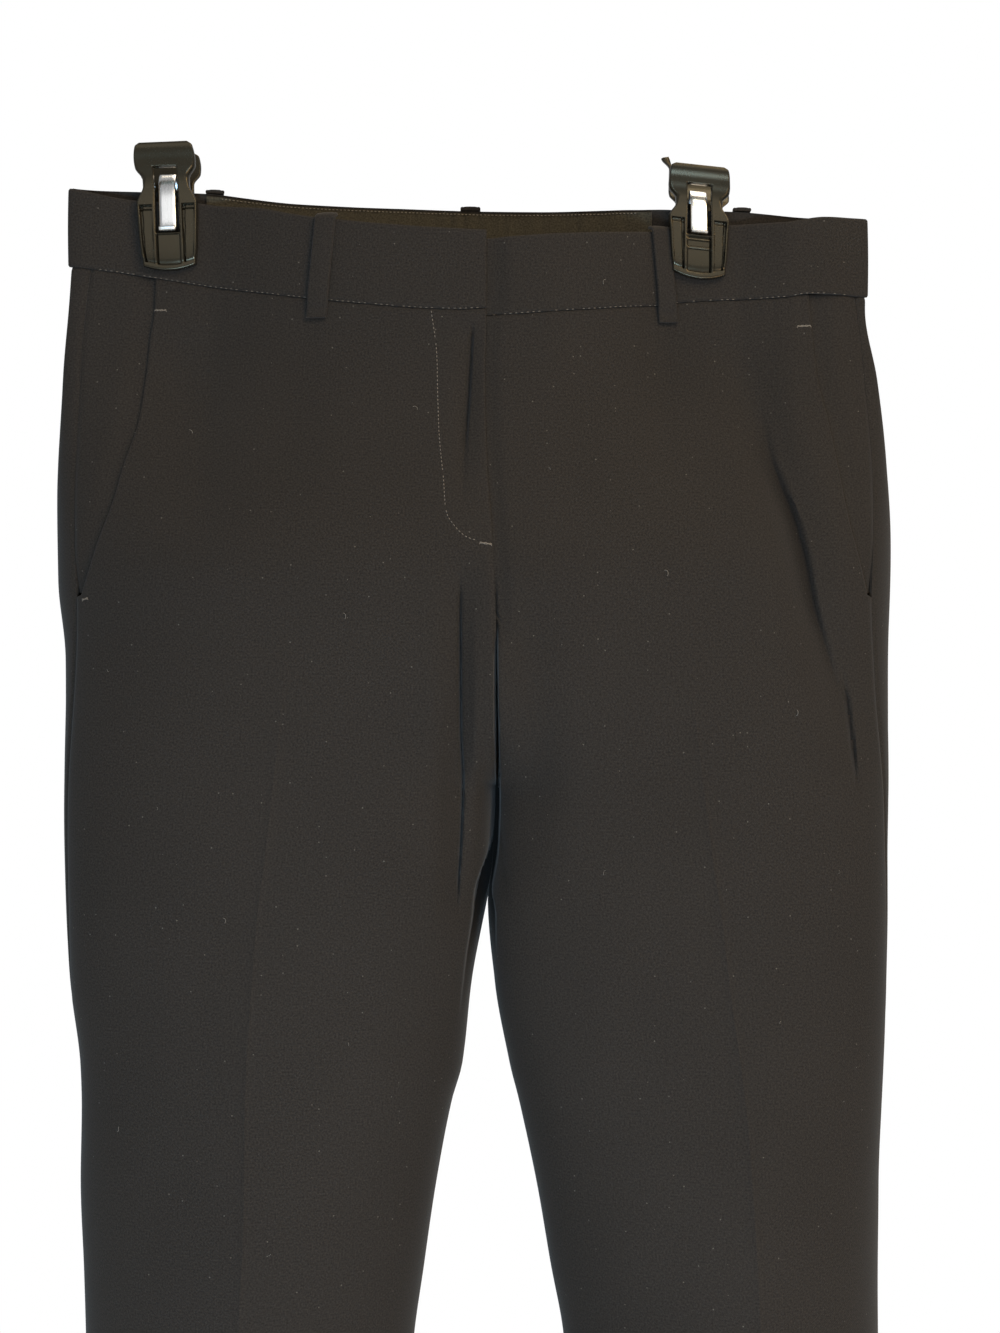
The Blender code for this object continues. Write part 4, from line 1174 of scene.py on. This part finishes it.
def build_waistband_facing():
    """The inner face of the back waistband, wrinkled where the band stands open."""
    inside = BAND_PROUD - BAND_WALL - TOUCH - 0.1
    grids, cuts = [], []
    reach = waist_t("right", FACING_END_X, True)
    for side, t in (("right", np.linspace(reach, 2.0, 130)),
                    ("left", np.linspace(2.0, FACING_END_T, 88)[1:])):
        top = band_edge(side, t, top=True) - 1.5
        z = top - (BAND_HEIGHT - 4.0) * np.linspace(0, 1, 30)[:, None]
        level = np.full_like(z, WAIST_FORM_Z)
        t = np.broadcast_to(t, z.shape)
        grid = form(side, t, level)
        x = grid[..., 0]
        down = (top - z) / BAND_HEIGHT
        open_share = ease((x - FACING_END_X) / 30.0)
        wrinkle = 0.7 * np.sin(x / 3.1 + 2.2 * np.sin(x / 17.0)) * ease((0.55 - down) / 0.5) * open_share
        for one in WRINKLES:
            wrinkle += 0.9 * bell(x - one.x, one.spread) * np.sin((x - one.x + 4.0) / one.turn)
        seam = -0.5 * bell((down - 0.42) * BAND_HEIGHT, 0.8)
        edge = -0.4 * bell(top - z, 0.6)
        off = inside - np.abs(wrinkle) * 0.6 + seam - 0.2
        faces = []
        for out in (off, off - FACING_WALL + edge):
            points = cloth(side, t, level, out)
            points[..., 2] = z
            faces.append(points)
        grids.append(faces)
        cuts.append(np.stack([x, z], axis=-1))
    outer, inner = (np.concatenate([half[k] for half in grids], axis=1) for k in (0, 1))
    dress("waistband_facing", "cloth", "waistband_facing", outer, inner, facing_material(),
          np.concatenate(cuts, axis=1), flat=(0.235, 0.0345), area=0.008,
          rests_on=both_halves("waistband"))


def smooth_path(points, step):
    """A smooth line through points, resampled about step apart."""
    points = np.asarray(points, dtype=float)
    reach = distance_along(points)
    at = np.linspace(0, reach[-1], max(3, round(reach[-1] / step) + 1))
    padded = np.concatenate([[2 * points[0] - points[1]], points, [2 * points[-1] - points[-2]]])
    i = np.clip(np.searchsorted(reach, at, side="right") - 1, 0, len(points) - 2)
    f = ((at - reach[i]) / (reach[i + 1] - reach[i]))[:, None]
    a, b, c, d = (padded[i + k] for k in range(4))
    return 0.5 * (2 * b + (c - a) * f + (2 * a - 5 * b + 4 * c - d) * f ** 2
                  + (3 * b - a - 3 * c + d) * f ** 3)


def sideways(path):
    course = np.gradient(path, axis=0)
    course /= np.linalg.norm(course, axis=1, keepdims=True)
    return np.stack([course[:, 1], -course[:, 0]], axis=1)


def build_belt_loop(loop):
    """A strap folded over the band's top edge and stitched to the cloth below the band."""
    def edge_height(stand):
        x = loop.top_x if stand.edge == "top" else loop.foot_x
        edge = band_edge(loop.side, waist_t(loop.side, x, loop.back), top=stand.edge == "top")
        return float(edge) + stand.height

    heights = np.array([edge_height(stand) for stand in COURSE])
    path = np.array([[stand.gap + LOOP_WALL / 2, z] for stand, z in zip(COURSE, heights)])
    fine = smooth_path(path, 0.8)
    aside = sideways(fine)
    share = np.clip((fine[:, 1] - heights[0]) / (heights[-1] - heights[0]), 0, 1)
    centre = loop.foot_x + (loop.top_x - loop.foot_x) * share
    # Shares of the loop's width, close together at its edges and at its two seams.
    across = np.array([-0.5, -0.475, -0.43, -0.36, -0.22, 0.0, 0.22, 0.36, 0.43, 0.475, 0.5])
    crown = 0.22 * (1 - (across / 0.5) ** 2) - 0.45 * bell(0.5 - np.abs(across), 0.03)
    seamed = -0.16 * bell(np.abs(across) - 0.36, 0.05)
    low = band_edge(loop.side, waist_t(loop.side, loop.foot_x, loop.back), top=False) - 1.5

    def face(sign):
        grid = np.empty((len(fine), len(across), 3))
        for k, share_across in enumerate(across):
            puff = LOOP_WALL / 2 + (crown[k] + seamed[k] if sign > 0 else 0.35 * min(crown[k], 0))
            line = fine + sign * aside * puff
            t = waist_t(loop.side, centre + share_across * loop.width, loop.back)
            on_band = np.where(line[:, 1] < low, np.minimum(line[:, 1], WAIST_FORM_Z), WAIST_FORM_Z)
            grid[:, k] = cloth(loop.side, t, on_band, line[:, 0])
            grid[:, k, 2] = line[:, 1]
        return grid

    uv = np.stack(np.broadcast_arrays(across[None] * loop.width, fine[:, 1:2]), axis=-1)
    dress(loop.name, "cloth", "trouser_cloth", face(1), face(-1), cloth_material(), uv,
          flat=(0.01, 0.055), rests_on=["waistband_" + loop.side + "_cloth"])


# Clips.
def place_clip(clip, points):
    """A clip's own points, in its place on the rod."""
    points = np.asarray(points, dtype=float)
    z = points[..., 2]
    sill = WINDOW_SILL * clip.reach
    below = sill + (z - WINDOW_SILL) * (clip.foot - sill) / (JAW[-1].z - WINDOW_SILL)
    z = np.where(z > WINDOW_SILL, z * clip.reach, below)
    x = points[..., 0]
    turned_x = x * cos(clip.lean) - z * sin(clip.lean) + clip.x
    turned_z = x * sin(clip.turn) + z * cos(clip.turn) + clip.z
    return np.stack([turned_x, points[..., 1], turned_z], axis=-1)


# The lower part of a jaw's outer face, between its rims: how far each recess is sunk, and the ribs.
CHANNEL_TOP = -7.2
CHANNEL_FOOT = -36.0
NOTCH_HEIGHT = 1.7
NOTCH_DEPTH = 2.6
CHANNEL_DEPTH = 1.5
GROOVE_DEPTH = 1.5
GROOVE_WIDTH = 1.5
RIM_WIDTH = 1.4
RIB_WIDTH = 1.5
PANEL_DEPTH = 1.2
BAR_HEIGHTS = (-22.9, -26.4)
FOOT_BOW = 2.6
FOOT_BOW_TOP = -30.0
FOOT_HALF = 13.0
FOOT_OUTER = 8.4
# A clip's neck is set down by its drop from a little above the window's sill to near the handle's top.
DROP_SETS_IN = 9.0
DROP_END_Z = 20.0
DROP_RUNS_OUT = 10.0
# The left clip's back jaw sits a little aside, and its handle shows one corner above the front one.
EAR_SHIFT = 1.4
EAR_RISE = 12.0
EAR_SPREAD = 4.4
EAR_INNER = 12.3
EAR_FOOT_Z = 14.0
EAR_SPREAD_Z = 18.5


def soft_box(value, low, high, soft):
    """1 between low and high with soft edges, and 0 outside."""
    return ease((value - low) / soft) * ease((high - value) / soft)


def rounded_off(distance, radius):
    """How far an edge of this radius has dropped at each distance from it."""
    near = np.clip(1 - distance / radius, 0, 1)
    return radius * (1 - np.sqrt(1 - near ** 2))


def jaw_relief(clip, x, z, half, window):
    """How far the recesses are sunk below a jaw's outer face."""
    beside = np.abs(x)
    in_dark_half = np.sign(x) == clip.dark_side
    inner_edge = window.half + RIB_WIDTH
    outer_edge = half - RIM_WIDTH
    across = soft_box(beside, inner_edge - 0.2, outer_edge + 0.2, 0.35)
    top = CHANNEL_TOP - clip.drop
    down = soft_box(z, CHANNEL_FOOT - 0.4, top + 0.3, 0.5)
    notch = ease((z - top + NOTCH_HEIGHT + 0.6) / 0.6)
    sunk = across * down * (CHANNEL_DEPTH + (NOTCH_DEPTH - CHANNEL_DEPTH) * notch)
    from_dark = np.abs(np.where(in_dark_half, outer_edge - beside, beside - inner_edge))
    narrow = GROOVE_WIDTH * (1 - 0.5 * ease((top - z) / 28.0))
    sunk += GROOVE_DEPTH * across * down * ease((narrow - from_dark) / 0.5)
    panel = soft_box(z, CHANNEL_FOOT - 0.6, window.sill - 0.5, 0.5) * soft_box(
        window.half + 0.1 - beside, 0.0, 99.0, 0.4)
    from_dark = window.half - x * clip.dark_side
    sunk += panel * (PANEL_DEPTH + GROOVE_DEPTH * 0.8 * ease((0.9 - from_dark) / 0.4))
    if clip.dark_side > 0:
        for bar in BAR_HEIGHTS:
            sunk -= 1.0 * panel * soft_box(z, bar - 0.7, bar + 0.7, 0.4)
    return sunk


def jaw_grid(window):
    """The heights of a jaw's rows, and its columns as shares across the window and beyond it."""
    beside = np.array([0, 0.15, 0.4, 0.9])
    steps = np.arange(-38.0, 22.2, 0.4)
    edges = [window.top, window.sill, window.top + 0.25, window.sill - 0.25]
    clear = steps[np.min(np.abs(steps[:, None] - np.array(edges)), axis=1) > 0.1]
    clear = clear[(clear < JAW[0].z - 1.1) & (clear > JAW[-1].z + 1.1)]
    z = np.sort(np.concatenate([JAW[0].z - beside, JAW[-1].z + beside, clear, edges]))[::-1]
    outward = np.concatenate([np.linspace(0, 0.12, 4)[:-1], np.linspace(0.12, 1.0, 38)[:-2],
                              [0.965, 0.985, 1.0]])
    inward = np.linspace(-1, 1, 23)[1:-1]
    return z, outward, inward


def build_jaw(clip, name, facing):
    """One jaw: its handle, window, side channels and sunk foot panel, with rounded edges."""
    window = FRONT_WINDOW if facing < 0 else BACK_WINDOW
    z, outward, inward = jaw_grid(window)
    level = z + clip.drop * ease((z - WINDOW_SILL) / DROP_SETS_IN) * ease((DROP_END_Z - z) / DROP_RUNS_OUT)
    half = along(JAW, "half", level)
    half = np.where(z < FOOT_BOW_TOP, np.maximum(half, FOOT_HALF), half)[:, None]
    right = window.half + (half - window.half) * outward
    x = np.concatenate([-right[:, ::-1], np.broadcast_to(window.half * inward, (len(z), len(inward))),
                        right], axis=1)
    height = np.broadcast_to(z[:, None], x.shape)
    outer = along(JAW, "outer", height)
    outer = np.where(height < FOOT_BOW_TOP, np.maximum(outer, FOOT_OUTER), outer)
    inner = along(JAW, "inner", height)
    outer = outer - jaw_relief(clip, x, height, half, window)
    rim = np.minimum(np.minimum(half - np.abs(x), JAW[0].z - height), height - JAW[-1].z)
    beside_window = np.maximum(np.abs(x) - window.half,
                               np.maximum(height - window.top, window.sill - height))
    neck = bell(level[:, None] - 8.0, 5.0)
    outer = outer - rounded_off(half - np.abs(x), 0.7 + 1.9 * neck) - rounded_off(rim, 0.7)
    outer = outer - rounded_off(np.maximum(beside_window, 0), 0.35)
    inner = inner + rounded_off(rim, 0.6)
    teeth = soft_box(height, -37.5, -26.0, 0.8) * (0.5 + 0.5 * np.sin(height * 2 * pi / 2.2))
    inner = inner + 0.35 * teeth * soft_box(half - np.abs(x), 1.0, 99.0, 0.5)
    outer = np.maximum(outer, inner + 0.5)
    bow = FOOT_BOW * (x / half) ** 2 * ease((FOOT_BOW_TOP - height) / (FOOT_BOW_TOP - JAW[-1].z))
    open_rows = (z[:-1] <= window.top + 1e-6) & (z[1:] >= window.sill - 1e-6)
    middle = len(outward) - 1
    open_columns = np.zeros(x.shape[1] - 1, dtype=bool)
    open_columns[middle:middle + len(inward) + 1] = True
    raised, aside = height + bow, x
    if facing > 0 and clip.dark_side > 0:
        past = -x - EAR_INNER
        raised = raised + EAR_RISE * ease((height - EAR_FOOT_Z) / 8.0) * ease(past / 0.7)
        spread = EAR_SPREAD * ease((height - EAR_SPREAD_Z) / 2.3) * np.clip(past / 1.7, 0, 1)
        aside = x + EAR_SHIFT - spread

    def face(depth):
        return place_clip(clip, np.stack([aside, facing * depth, raised], axis=-1))

    dress(name, "moulding", "clip_plastic", face(outer), face(inner), plastic_material(),
          open_cells=open_rows[:, None] & open_columns[None])


def build_spring(clip):
    """The flat spring, bent over the rod and through both windows, with its ends curled out."""
    front = [(-y, z) for y, z in SPRING_COURSE]
    path = smooth_path(np.array(front + [(-y, z) for y, z in reversed(front[:-1])]), 0.5)
    aside = sideways(path) * SPRING_STEEL_WALL / 2
    across = np.array([-1, -0.97, -0.9, -0.6, -0.2, 0.2, 0.6, 0.9, 0.97, 1]) * SPRING_HALF
    round_off = 0.7 * bell(SPRING_HALF - np.abs(across), 0.16)

    def face(sign):
        grid = np.empty((len(path), len(across), 3))
        for k, x in enumerate(across):
            line = path + sign * aside * (1 - round_off[k])
            grid[:, k] = np.stack([np.full(len(path), x), line[:, 0], line[:, 1]], axis=-1)
        return place_clip(clip, grid)

    dress(clip.name + "_spring", "strip", "clip_spring", face(1), face(-1), steel_material())


# Stitches and lint. Rays that find the cloth's face start from here, in front of everything.
BEFORE_ALL_Y = -200.0


def geometry_tree(name, *inputs):
    """A geometry node tree with a Geometry socket each way and its named inputs."""
    shape = ("Geometry", "Geometry")
    return empty_tree(name, "GeometryNodeTree", [shape, *inputs], [shape])


def finish_tree(tree, given, result, instances):
    real = add_node(tree, "GeometryNodeRealizeInstances", {"Geometry": instances})
    smooth = add_node(tree, "GeometryNodeSetShadeSmooth", {"Geometry": real.outputs[0]})
    painted = add_node(tree, "GeometryNodeSetMaterial", {"Geometry": smooth.outputs[0],
                                                         "Material": given.outputs["Material"]})
    feed(tree, result, {"Geometry": painted.outputs[0]})
    return tree


@built_once("node_groups", "Stitch row")
def stitch_row_tree(name):
    """Stitches along the input's lines: slim beads laid end to end, some sunk out of sight."""
    tree, given, result = geometry_tree(name, ("Pitch", "Float"), ("Length", "Float"), ("Radius", "Float"),
                                        ("Shown", "Float"), ("Seed", "Int"), ("Material", "Material"))
    sizes = given.outputs
    line = add_node(tree, "GeometryNodeMeshToCurve", {"Mesh": sizes["Geometry"]})
    places = add_node(tree, "GeometryNodeCurveToPoints", {"Curve": line.outputs[0], "Length": sizes["Pitch"]},
                      mode="LENGTH")
    bead = add_node(tree, "GeometryNodeMeshUVSphere", {"Segments": 8, "Rings": 6, "Radius": 1.0})
    size = add_node(tree, "ShaderNodeCombineXYZ", {
        "X": sizes["Radius"], "Y": sizes["Radius"], "Z": calculate(tree, "MULTIPLY", sizes["Length"], 0.5)})
    chosen = add_node(tree, "FunctionNodeRandomValue", {"Probability": sizes["Shown"], "Seed": sizes["Seed"]},
                      data_type="BOOLEAN")
    sewn = add_node(tree, "GeometryNodeInstanceOnPoints", {
        "Points": places.outputs["Points"], "Instance": bead.outputs["Mesh"],
        "Rotation": places.outputs["Rotation"], "Scale": size.outputs[0], "Selection": chosen.outputs[3]})
    return finish_tree(tree, given, result, sewn.outputs[0])


@built_once("node_groups", "Lint fibres")
def lint_tree(name):
    """A curled fibre at each of the input's points, turned at random."""
    tree, given, result = geometry_tree(name, ("Size", "Float"), ("Radius", "Float"), ("Seed", "Int"),
                                        ("Material", "Material"))
    sizes = given.outputs
    arc = add_node(tree, "GeometryNodeCurveArc", {
        "Resolution": 9, "Radius": 1.0, "Sweep Angle": radians(150)})
    profile = add_node(tree, "GeometryNodeCurvePrimitiveCircle", {
        "Resolution": 5, "Radius": calculate(tree, "DIVIDE", sizes["Radius"], sizes["Size"])})
    fibre = add_node(tree, "GeometryNodeCurveToMesh", {
        "Curve": arc.outputs[0], "Profile Curve": profile.outputs[0], "Fill Caps": True})
    turn = add_node(tree, "FunctionNodeRandomValue", {
        "Min": (pi / 2 - 0.2, -0.2, -3.1), "Max": (pi / 2 + 0.2, 3.1, 0.2), "Seed": sizes["Seed"]},
        data_type="FLOAT_VECTOR")
    grow = add_node(tree, "FunctionNodeRandomValue", {2: 0.4, 3: 1.5, "Seed": sizes["Seed"]},
                    data_type="FLOAT")
    strewn = add_node(tree, "GeometryNodeInstanceOnPoints", {
        "Points": sizes["Geometry"], "Instance": fibre.outputs[0], "Rotation": turn.outputs[0],
        "Scale": calculate(tree, "MULTIPLY", grow.outputs[1], sizes["Size"])})
    return finish_tree(tree, given, result, strewn.outputs[0])


def grown(name, lines, tree, values):
    """The plain mesh that a tree makes from polylines in millimetres, as an object."""
    points = np.concatenate(lines) * MM
    edges, first = [], 0
    for line in lines:
        edges += [(first + i, first + i + 1) for i in range(len(line) - 1)]
        first += len(line)
    mesh = bpy.data.meshes.new(name)
    mesh.from_pydata(points.tolist(), edges, [])
    thing = linked(name, mesh)
    modifier = thing.modifiers.new(name, "NODES")
    modifier.node_group = tree
    for item in tree.interface.items_tree:
        if item.item_type == "SOCKET" and item.in_out == "INPUT" and item.name in values:
            modifier[item.identifier] = values[item.name]
    evaluated = thing.evaluated_get(bpy.context.evaluated_depsgraph_get())
    made = bpy.data.meshes.new_from_object(evaluated)
    thing.modifiers.remove(modifier)
    thing.data = made
    made.name = name
    bpy.data.meshes.remove(mesh)
    return thing


def tree_over(names):
    """A tree to cast rays at, over some of the finished pieces."""
    points, faces, first = [], [], 0
    for name in names:
        mesh = bpy.data.objects[name].data
        points += [v.co[:] for v in mesh.vertices]
        faces += [[i + first for i in p.vertices] for p in mesh.polygons]
        first = len(points)
    return BVHTree.FromPolygons(points, faces)


def lay_on(tree, path, lift, step=1.0, start_y=BEFORE_ALL_Y):
    """A path of (x, z) in millimetres, laid on what a ray backwards from start_y meets."""
    path = smooth_path(path, step) if len(path) > 2 else path
    laid = []
    for x, z in path:
        hit, normal, _, _ = tree.ray_cast(Vector((x, start_y, z)) * MM, Vector((0, 1, 0)), 0.4)
        if hit is not None:
            if normal.y > 0:
                normal = -normal
            laid.append(np.array(hit + normal * lift * MM) / MM)
    return np.array(laid)


# Rows of stitches on the front, by X and Z.
FLY_J = [(-22.2, -62.3), (-19.7, -81.1), (-19.0, -103.0), (-18.0, -124.4), (-15.9, -144.0),
         (-14.5, -159.9), (-10.7, -167.0), (-5.5, -172.2), (0.6, -174.5)]
# Bar tacks: the middle, the way along, and how long. Their zigzag goes this far to both sides.
TACKS = table("x z way length", [
    (4.2, -175.8, radians(-8), 5.4),
    (-156.6, -57.9, radians(0), 6.0),
    (-188.2, -201.0, radians(12), 3.0),
    (159.8, -66.6, radians(3), 6.4),
])
TACK_HALF = 0.36
TACK_TURNS = 15
LINT_PLACES = [(62, -47), (-118, -352), (-170, -452), (-140, -120), (-62, -210), (-150, -300),
               (34, -140), (88, -190), (150, -255), (60, -330), (142, -400), (92, -470),
               (-60, -410), (-96, -505), (170, -330), (-30, -110), (120, -90), (-175, -235)]


def sewn(name, lines, pitch=None, length=None, radius=None, shown=1.0):
    """One piece of thread along lines."""
    thread = settings("trouser_stitching")
    added_on(grown(name, lines, stitch_row_tree(), {
        "Pitch": pitch or thread.pitch, "Length": length or thread.length,
        "Radius": radius or thread.thickness, "Shown": shown, "Seed": thread.seed,
        "Material": thread_material()}))


def row_beside(tree, edge, low, high, above, lift, **start):
    """A row of stitches from low to high across the front, a little above or below an edge."""
    x = np.arange(low, high, 2.0)
    return lay_on(tree, np.stack([x, follow(edge, x) + above], axis=1), lift, step=2.0, **start)


def bar_tack(tree, tack):
    """Zigzag lines across a bar tack, as one dense satin row."""
    along_it = np.linspace(-0.5, 0.5, TACK_TURNS) * tack.length
    off = TACK_HALF * np.where(np.arange(TACK_TURNS) % 2, 1, -1)
    x = tack.x + along_it * cos(tack.way) - off * sin(tack.way)
    z = tack.z + along_it * sin(tack.way) + off * cos(tack.way)
    return np.array([lay_on(tree, [place], 0.12)[0] for place in zip(x, z)])


class TROUSERS_OT_panels(Operator):
    """Cuts and hangs the two fronts, the two backs and the two pocket facings"""
    bl_idname = "trousers.panels"
    bl_label = "Fronts, backs and pocket facings"

    def execute(self, context):
        for side in SIDES:
            build_front(side)
            build_back(side)
            build_pocket_facing(side)
        return {"FINISHED"}


class TROUSERS_OT_waistband(Operator):
    """Builds both halves of the waistband and its inside facing"""
    bl_idname = "trousers.waistband"
    bl_label = "Waistband"

    def execute(self, context):
        for side in SIDES:
            build_waistband(side)
        build_waistband_facing()
        return {"FINISHED"}


class TROUSERS_OT_belt_loops(Operator):
    """Folds and sews on the five belt loops"""
    bl_idname = "trousers.belt_loops"
    bl_label = "Belt loops"

    def execute(self, context):
        for loop in LOOPS:
            build_belt_loop(loop)
        return {"FINISHED"}


class TROUSERS_OT_stitching(Operator):
    """Sews the fly, the waistband's ditch, its inner edge and the bar tacks"""
    bl_idname = "trousers.stitching"
    bl_label = "Stitching"

    def execute(self, context):
        fronts = tree_over(both_halves("front"))
        whole = tree_over(both_halves("front") + both_halves("pocket_facing") + both_halves("waistband"))
        facing = tree_over(["waistband_facing_cloth"])
        sewn("fly_stitching", [lay_on(fronts, FLY_J, 0.04)], radius=0.0002, shown=0.9)
        sewn("ditch_stitching", [row_beside(whole, BAND_FOOT["right"], -186.0, 2.0, 0.15, 0.05),
                                 row_beside(whole, BAND_FOOT["left"], 8.0, 182.0, 0.15, 0.05)],
             pitch=0.00275, shown=0.85)
        sewn("band_edge_stitching", [row_beside(facing, BAND_TOP["back"], FACING_END_X, 80.0, -2.1, 0.1,
                                                start_y=0.0)], pitch=0.0019, radius=0.00025)
        sewn("bar_tacks", [bar_tack(whole, tack) for tack in TACKS], pitch=0.0007, length=0.0012,
             radius=0.00019)
        return {"FINISHED"}


class TROUSERS_OT_lint(Operator):
    """Leaves a few stray fibres on the cloth"""
    bl_idname = "trousers.lint"
    bl_label = "Lint"

    def execute(self, context):
        whole = tree_over(both_halves("front") + both_halves("waistband"))
        spots = [lay_on(whole, [place], 0.15) for place in LINT_PLACES]
        added_on(grown("lint_fibres", [spot for spot in spots if len(spot)], lint_tree(), {
            "Size": 0.0011, "Radius": 0.00007, "Seed": 3, "Material": lint_material()}))
        return {"FINISHED"}


class TROUSERS_OT_clips(Operator):
    """Moulds the jaws and bends the springs of both clips"""
    bl_idname = "trousers.clips"
    bl_label = "Clips"

    def execute(self, context):
        for clip in CLIPS:
            build_jaw(clip, clip.name + "_front_jaw", -1)
            build_jaw(clip, clip.name + "_back_jaw", 1)
            build_spring(clip)
        return {"FINISHED"}


# The stage, in metres. The camera looks straight along +Y.
CAMERA_PLACE = (0.0109, -1.0, -0.2334)
CAMERA_LENS = 54.66
FLOOR_Z = -1.082
WHITE = (1, 1, 1, 1)
MIDDLE = (0, 0, -0.35)
LIGHTS = table("name place aim size color", [
    ("key", (0.72, -1.1, 0.6), MIDDLE, 0.8, (1.0, 0.74, 0.42)),
    ("fill", (-0.08, -1.2, -1.0), (-0.16, 0, -0.55), 0.6, (0.46, 0.74, 1.0)),
    ("glow", (0.4, -0.95, -0.85), (0.1, 0, -0.45), 0.6, (1.0, 0.64, 0.32)),
    ("top", (0.2, 0.3, 1.3), MIDDLE, 1.2, (1.0, 0.82, 0.60)),
    ("edge", (0.35, -0.7, 0.9), (0, 0, 0), 0.25, (1.0, 0.90, 0.72)),
    ("card", (0.0, -2.3, 0.7), (0, 0, -0.05), 1.7, (1.0, 0.98, 0.95)),
])


def area_light(light, energy):
    """A round area light, aimed as its row in the table says."""
    data = bpy.data.lights.new(light.name, "AREA")
    data.shape = "DISK"
    data.size, data.energy, data.color = light.size, energy, light.color
    lamp = linked(light.name, data)
    lamp.location = light.place
    lamp.rotation_euler = (Vector(light.aim) - Vector(light.place)).to_track_quat("-Z", "Y").to_euler()


def white_room(world, brightness):
    """White where the camera sees it, and of its own brightness where it lights the object."""
    world.use_nodes = True
    tree = world.node_tree
    tree.nodes.clear()
    seen = add_node(tree, "ShaderNodeLightPath").outputs["Is Camera Ray"]
    dim, plain = (add_node(tree, "ShaderNodeBackground", {"Color": WHITE, "Strength": strength}).outputs[0]
                  for strength in (brightness, 1.0))
    both = add_node(tree, "ShaderNodeMixShader", {0: seen, 1: dim, 2: plain})
    add_node(tree, "ShaderNodeOutputWorld", {"Surface": both.outputs[0]}).is_active_output = True


def pale_floor(width):
    """A square of plain floor with faint wear."""
    half = width / 2
    mesh = bpy.data.meshes.new("floor")
    mesh.from_pydata([(-half, -half, FLOOR_Z), (half, -half, FLOOR_Z), (half, half, FLOOR_Z),
                      (-half, half, FLOOR_Z)], [], [(0, 1, 2, 3)])
    paint, tree, shader, place = blank_material("pale floor", (0.80, 0.79, 0.77, 1), 0.8)
    wear = grouped(tree, uneven_shade(), Place=place, Broad=2.0, Fine=90.0)
    shade = mixed(tree, wear["Shade"], (0.76, 0.75, 0.73, 1), (0.84, 0.83, 0.81, 1))
    feed(tree, shader, {"Base Color": shade})
    mesh.materials.append(paint)
    linked("floor", mesh)


class TROUSERS_OT_studio(Operator):
    """Sets the camera, the lights, the white surroundings and the floor"""
    bl_idname = "trousers.studio"
    bl_label = "Studio"

    def execute(self, context):
        scene = context.scene
        studio = settings("trouser_studio")
        camera = bpy.data.cameras.new("camera")
        camera.sensor_width, camera.lens = 36.0, CAMERA_LENS
        scene.camera = linked("camera", camera)
        scene.camera.location = CAMERA_PLACE
        scene.camera.rotation_euler = (radians(90), 0, 0)
        scene.view_settings.view_transform = "Standard"
        for light in LIGHTS:
            area_light(light, getattr(studio, light.name))
        scene.world = scene.world or bpy.data.worlds.new("studio")
        white_room(scene.world, studio.sky)
        pale_floor(studio.floor)
        return {"FINISHED"}


OPERATORS = (TROUSERS_OT_panels, TROUSERS_OT_waistband, TROUSERS_OT_belt_loops, TROUSERS_OT_clips,
             TROUSERS_OT_stitching, TROUSERS_OT_lint, TROUSERS_OT_studio)
GROUPS = {"trouser_cloth": TrouserCloth, "trouser_stitching": TrouserStitching,
          "trouser_finishes": TrouserFinishes, "trouser_studio": TrouserStudio}


class TROUSERS_PT_sidebar(Panel):
    """Lists the sizes, the finishes and the pieces to build"""
    bl_idname = "TROUSERS_PT_sidebar"
    bl_label = "Dress trousers"
    bl_space_type = "VIEW_3D"
    bl_region_type = "UI"
    bl_category = "Trousers"

    def draw(self, context):
        for name in GROUPS:
            box = self.layout.box()
            group = getattr(context.scene, name)
            for key in group.bl_rna.properties.keys():
                if key not in ("name", "rna_type"):
                    box.prop(group, key)
        for operator in OPERATORS:
            self.layout.operator(operator.bl_idname)


CLASSES = (*GROUPS.values(), *OPERATORS, TROUSERS_PT_sidebar)


def register():
    for kind in CLASSES:
        bpy.utils.register_class(kind)
    for name, group in GROUPS.items():
        setattr(bpy.types.Scene, name, PointerProperty(type=group))


def unregister():
    for name in GROUPS:
        delattr(bpy.types.Scene, name)
    for kind in reversed(CLASSES):
        bpy.utils.unregister_class(kind)


def main():
    register()
    bpy.ops.trousers.panels()
    bpy.ops.trousers.waistband()
    bpy.ops.trousers.belt_loops()
    bpy.ops.trousers.clips()
    bpy.ops.trousers.stitching()
    bpy.ops.trousers.lint()
    bpy.ops.trousers.studio()


if __name__ == "__main__":
    main()
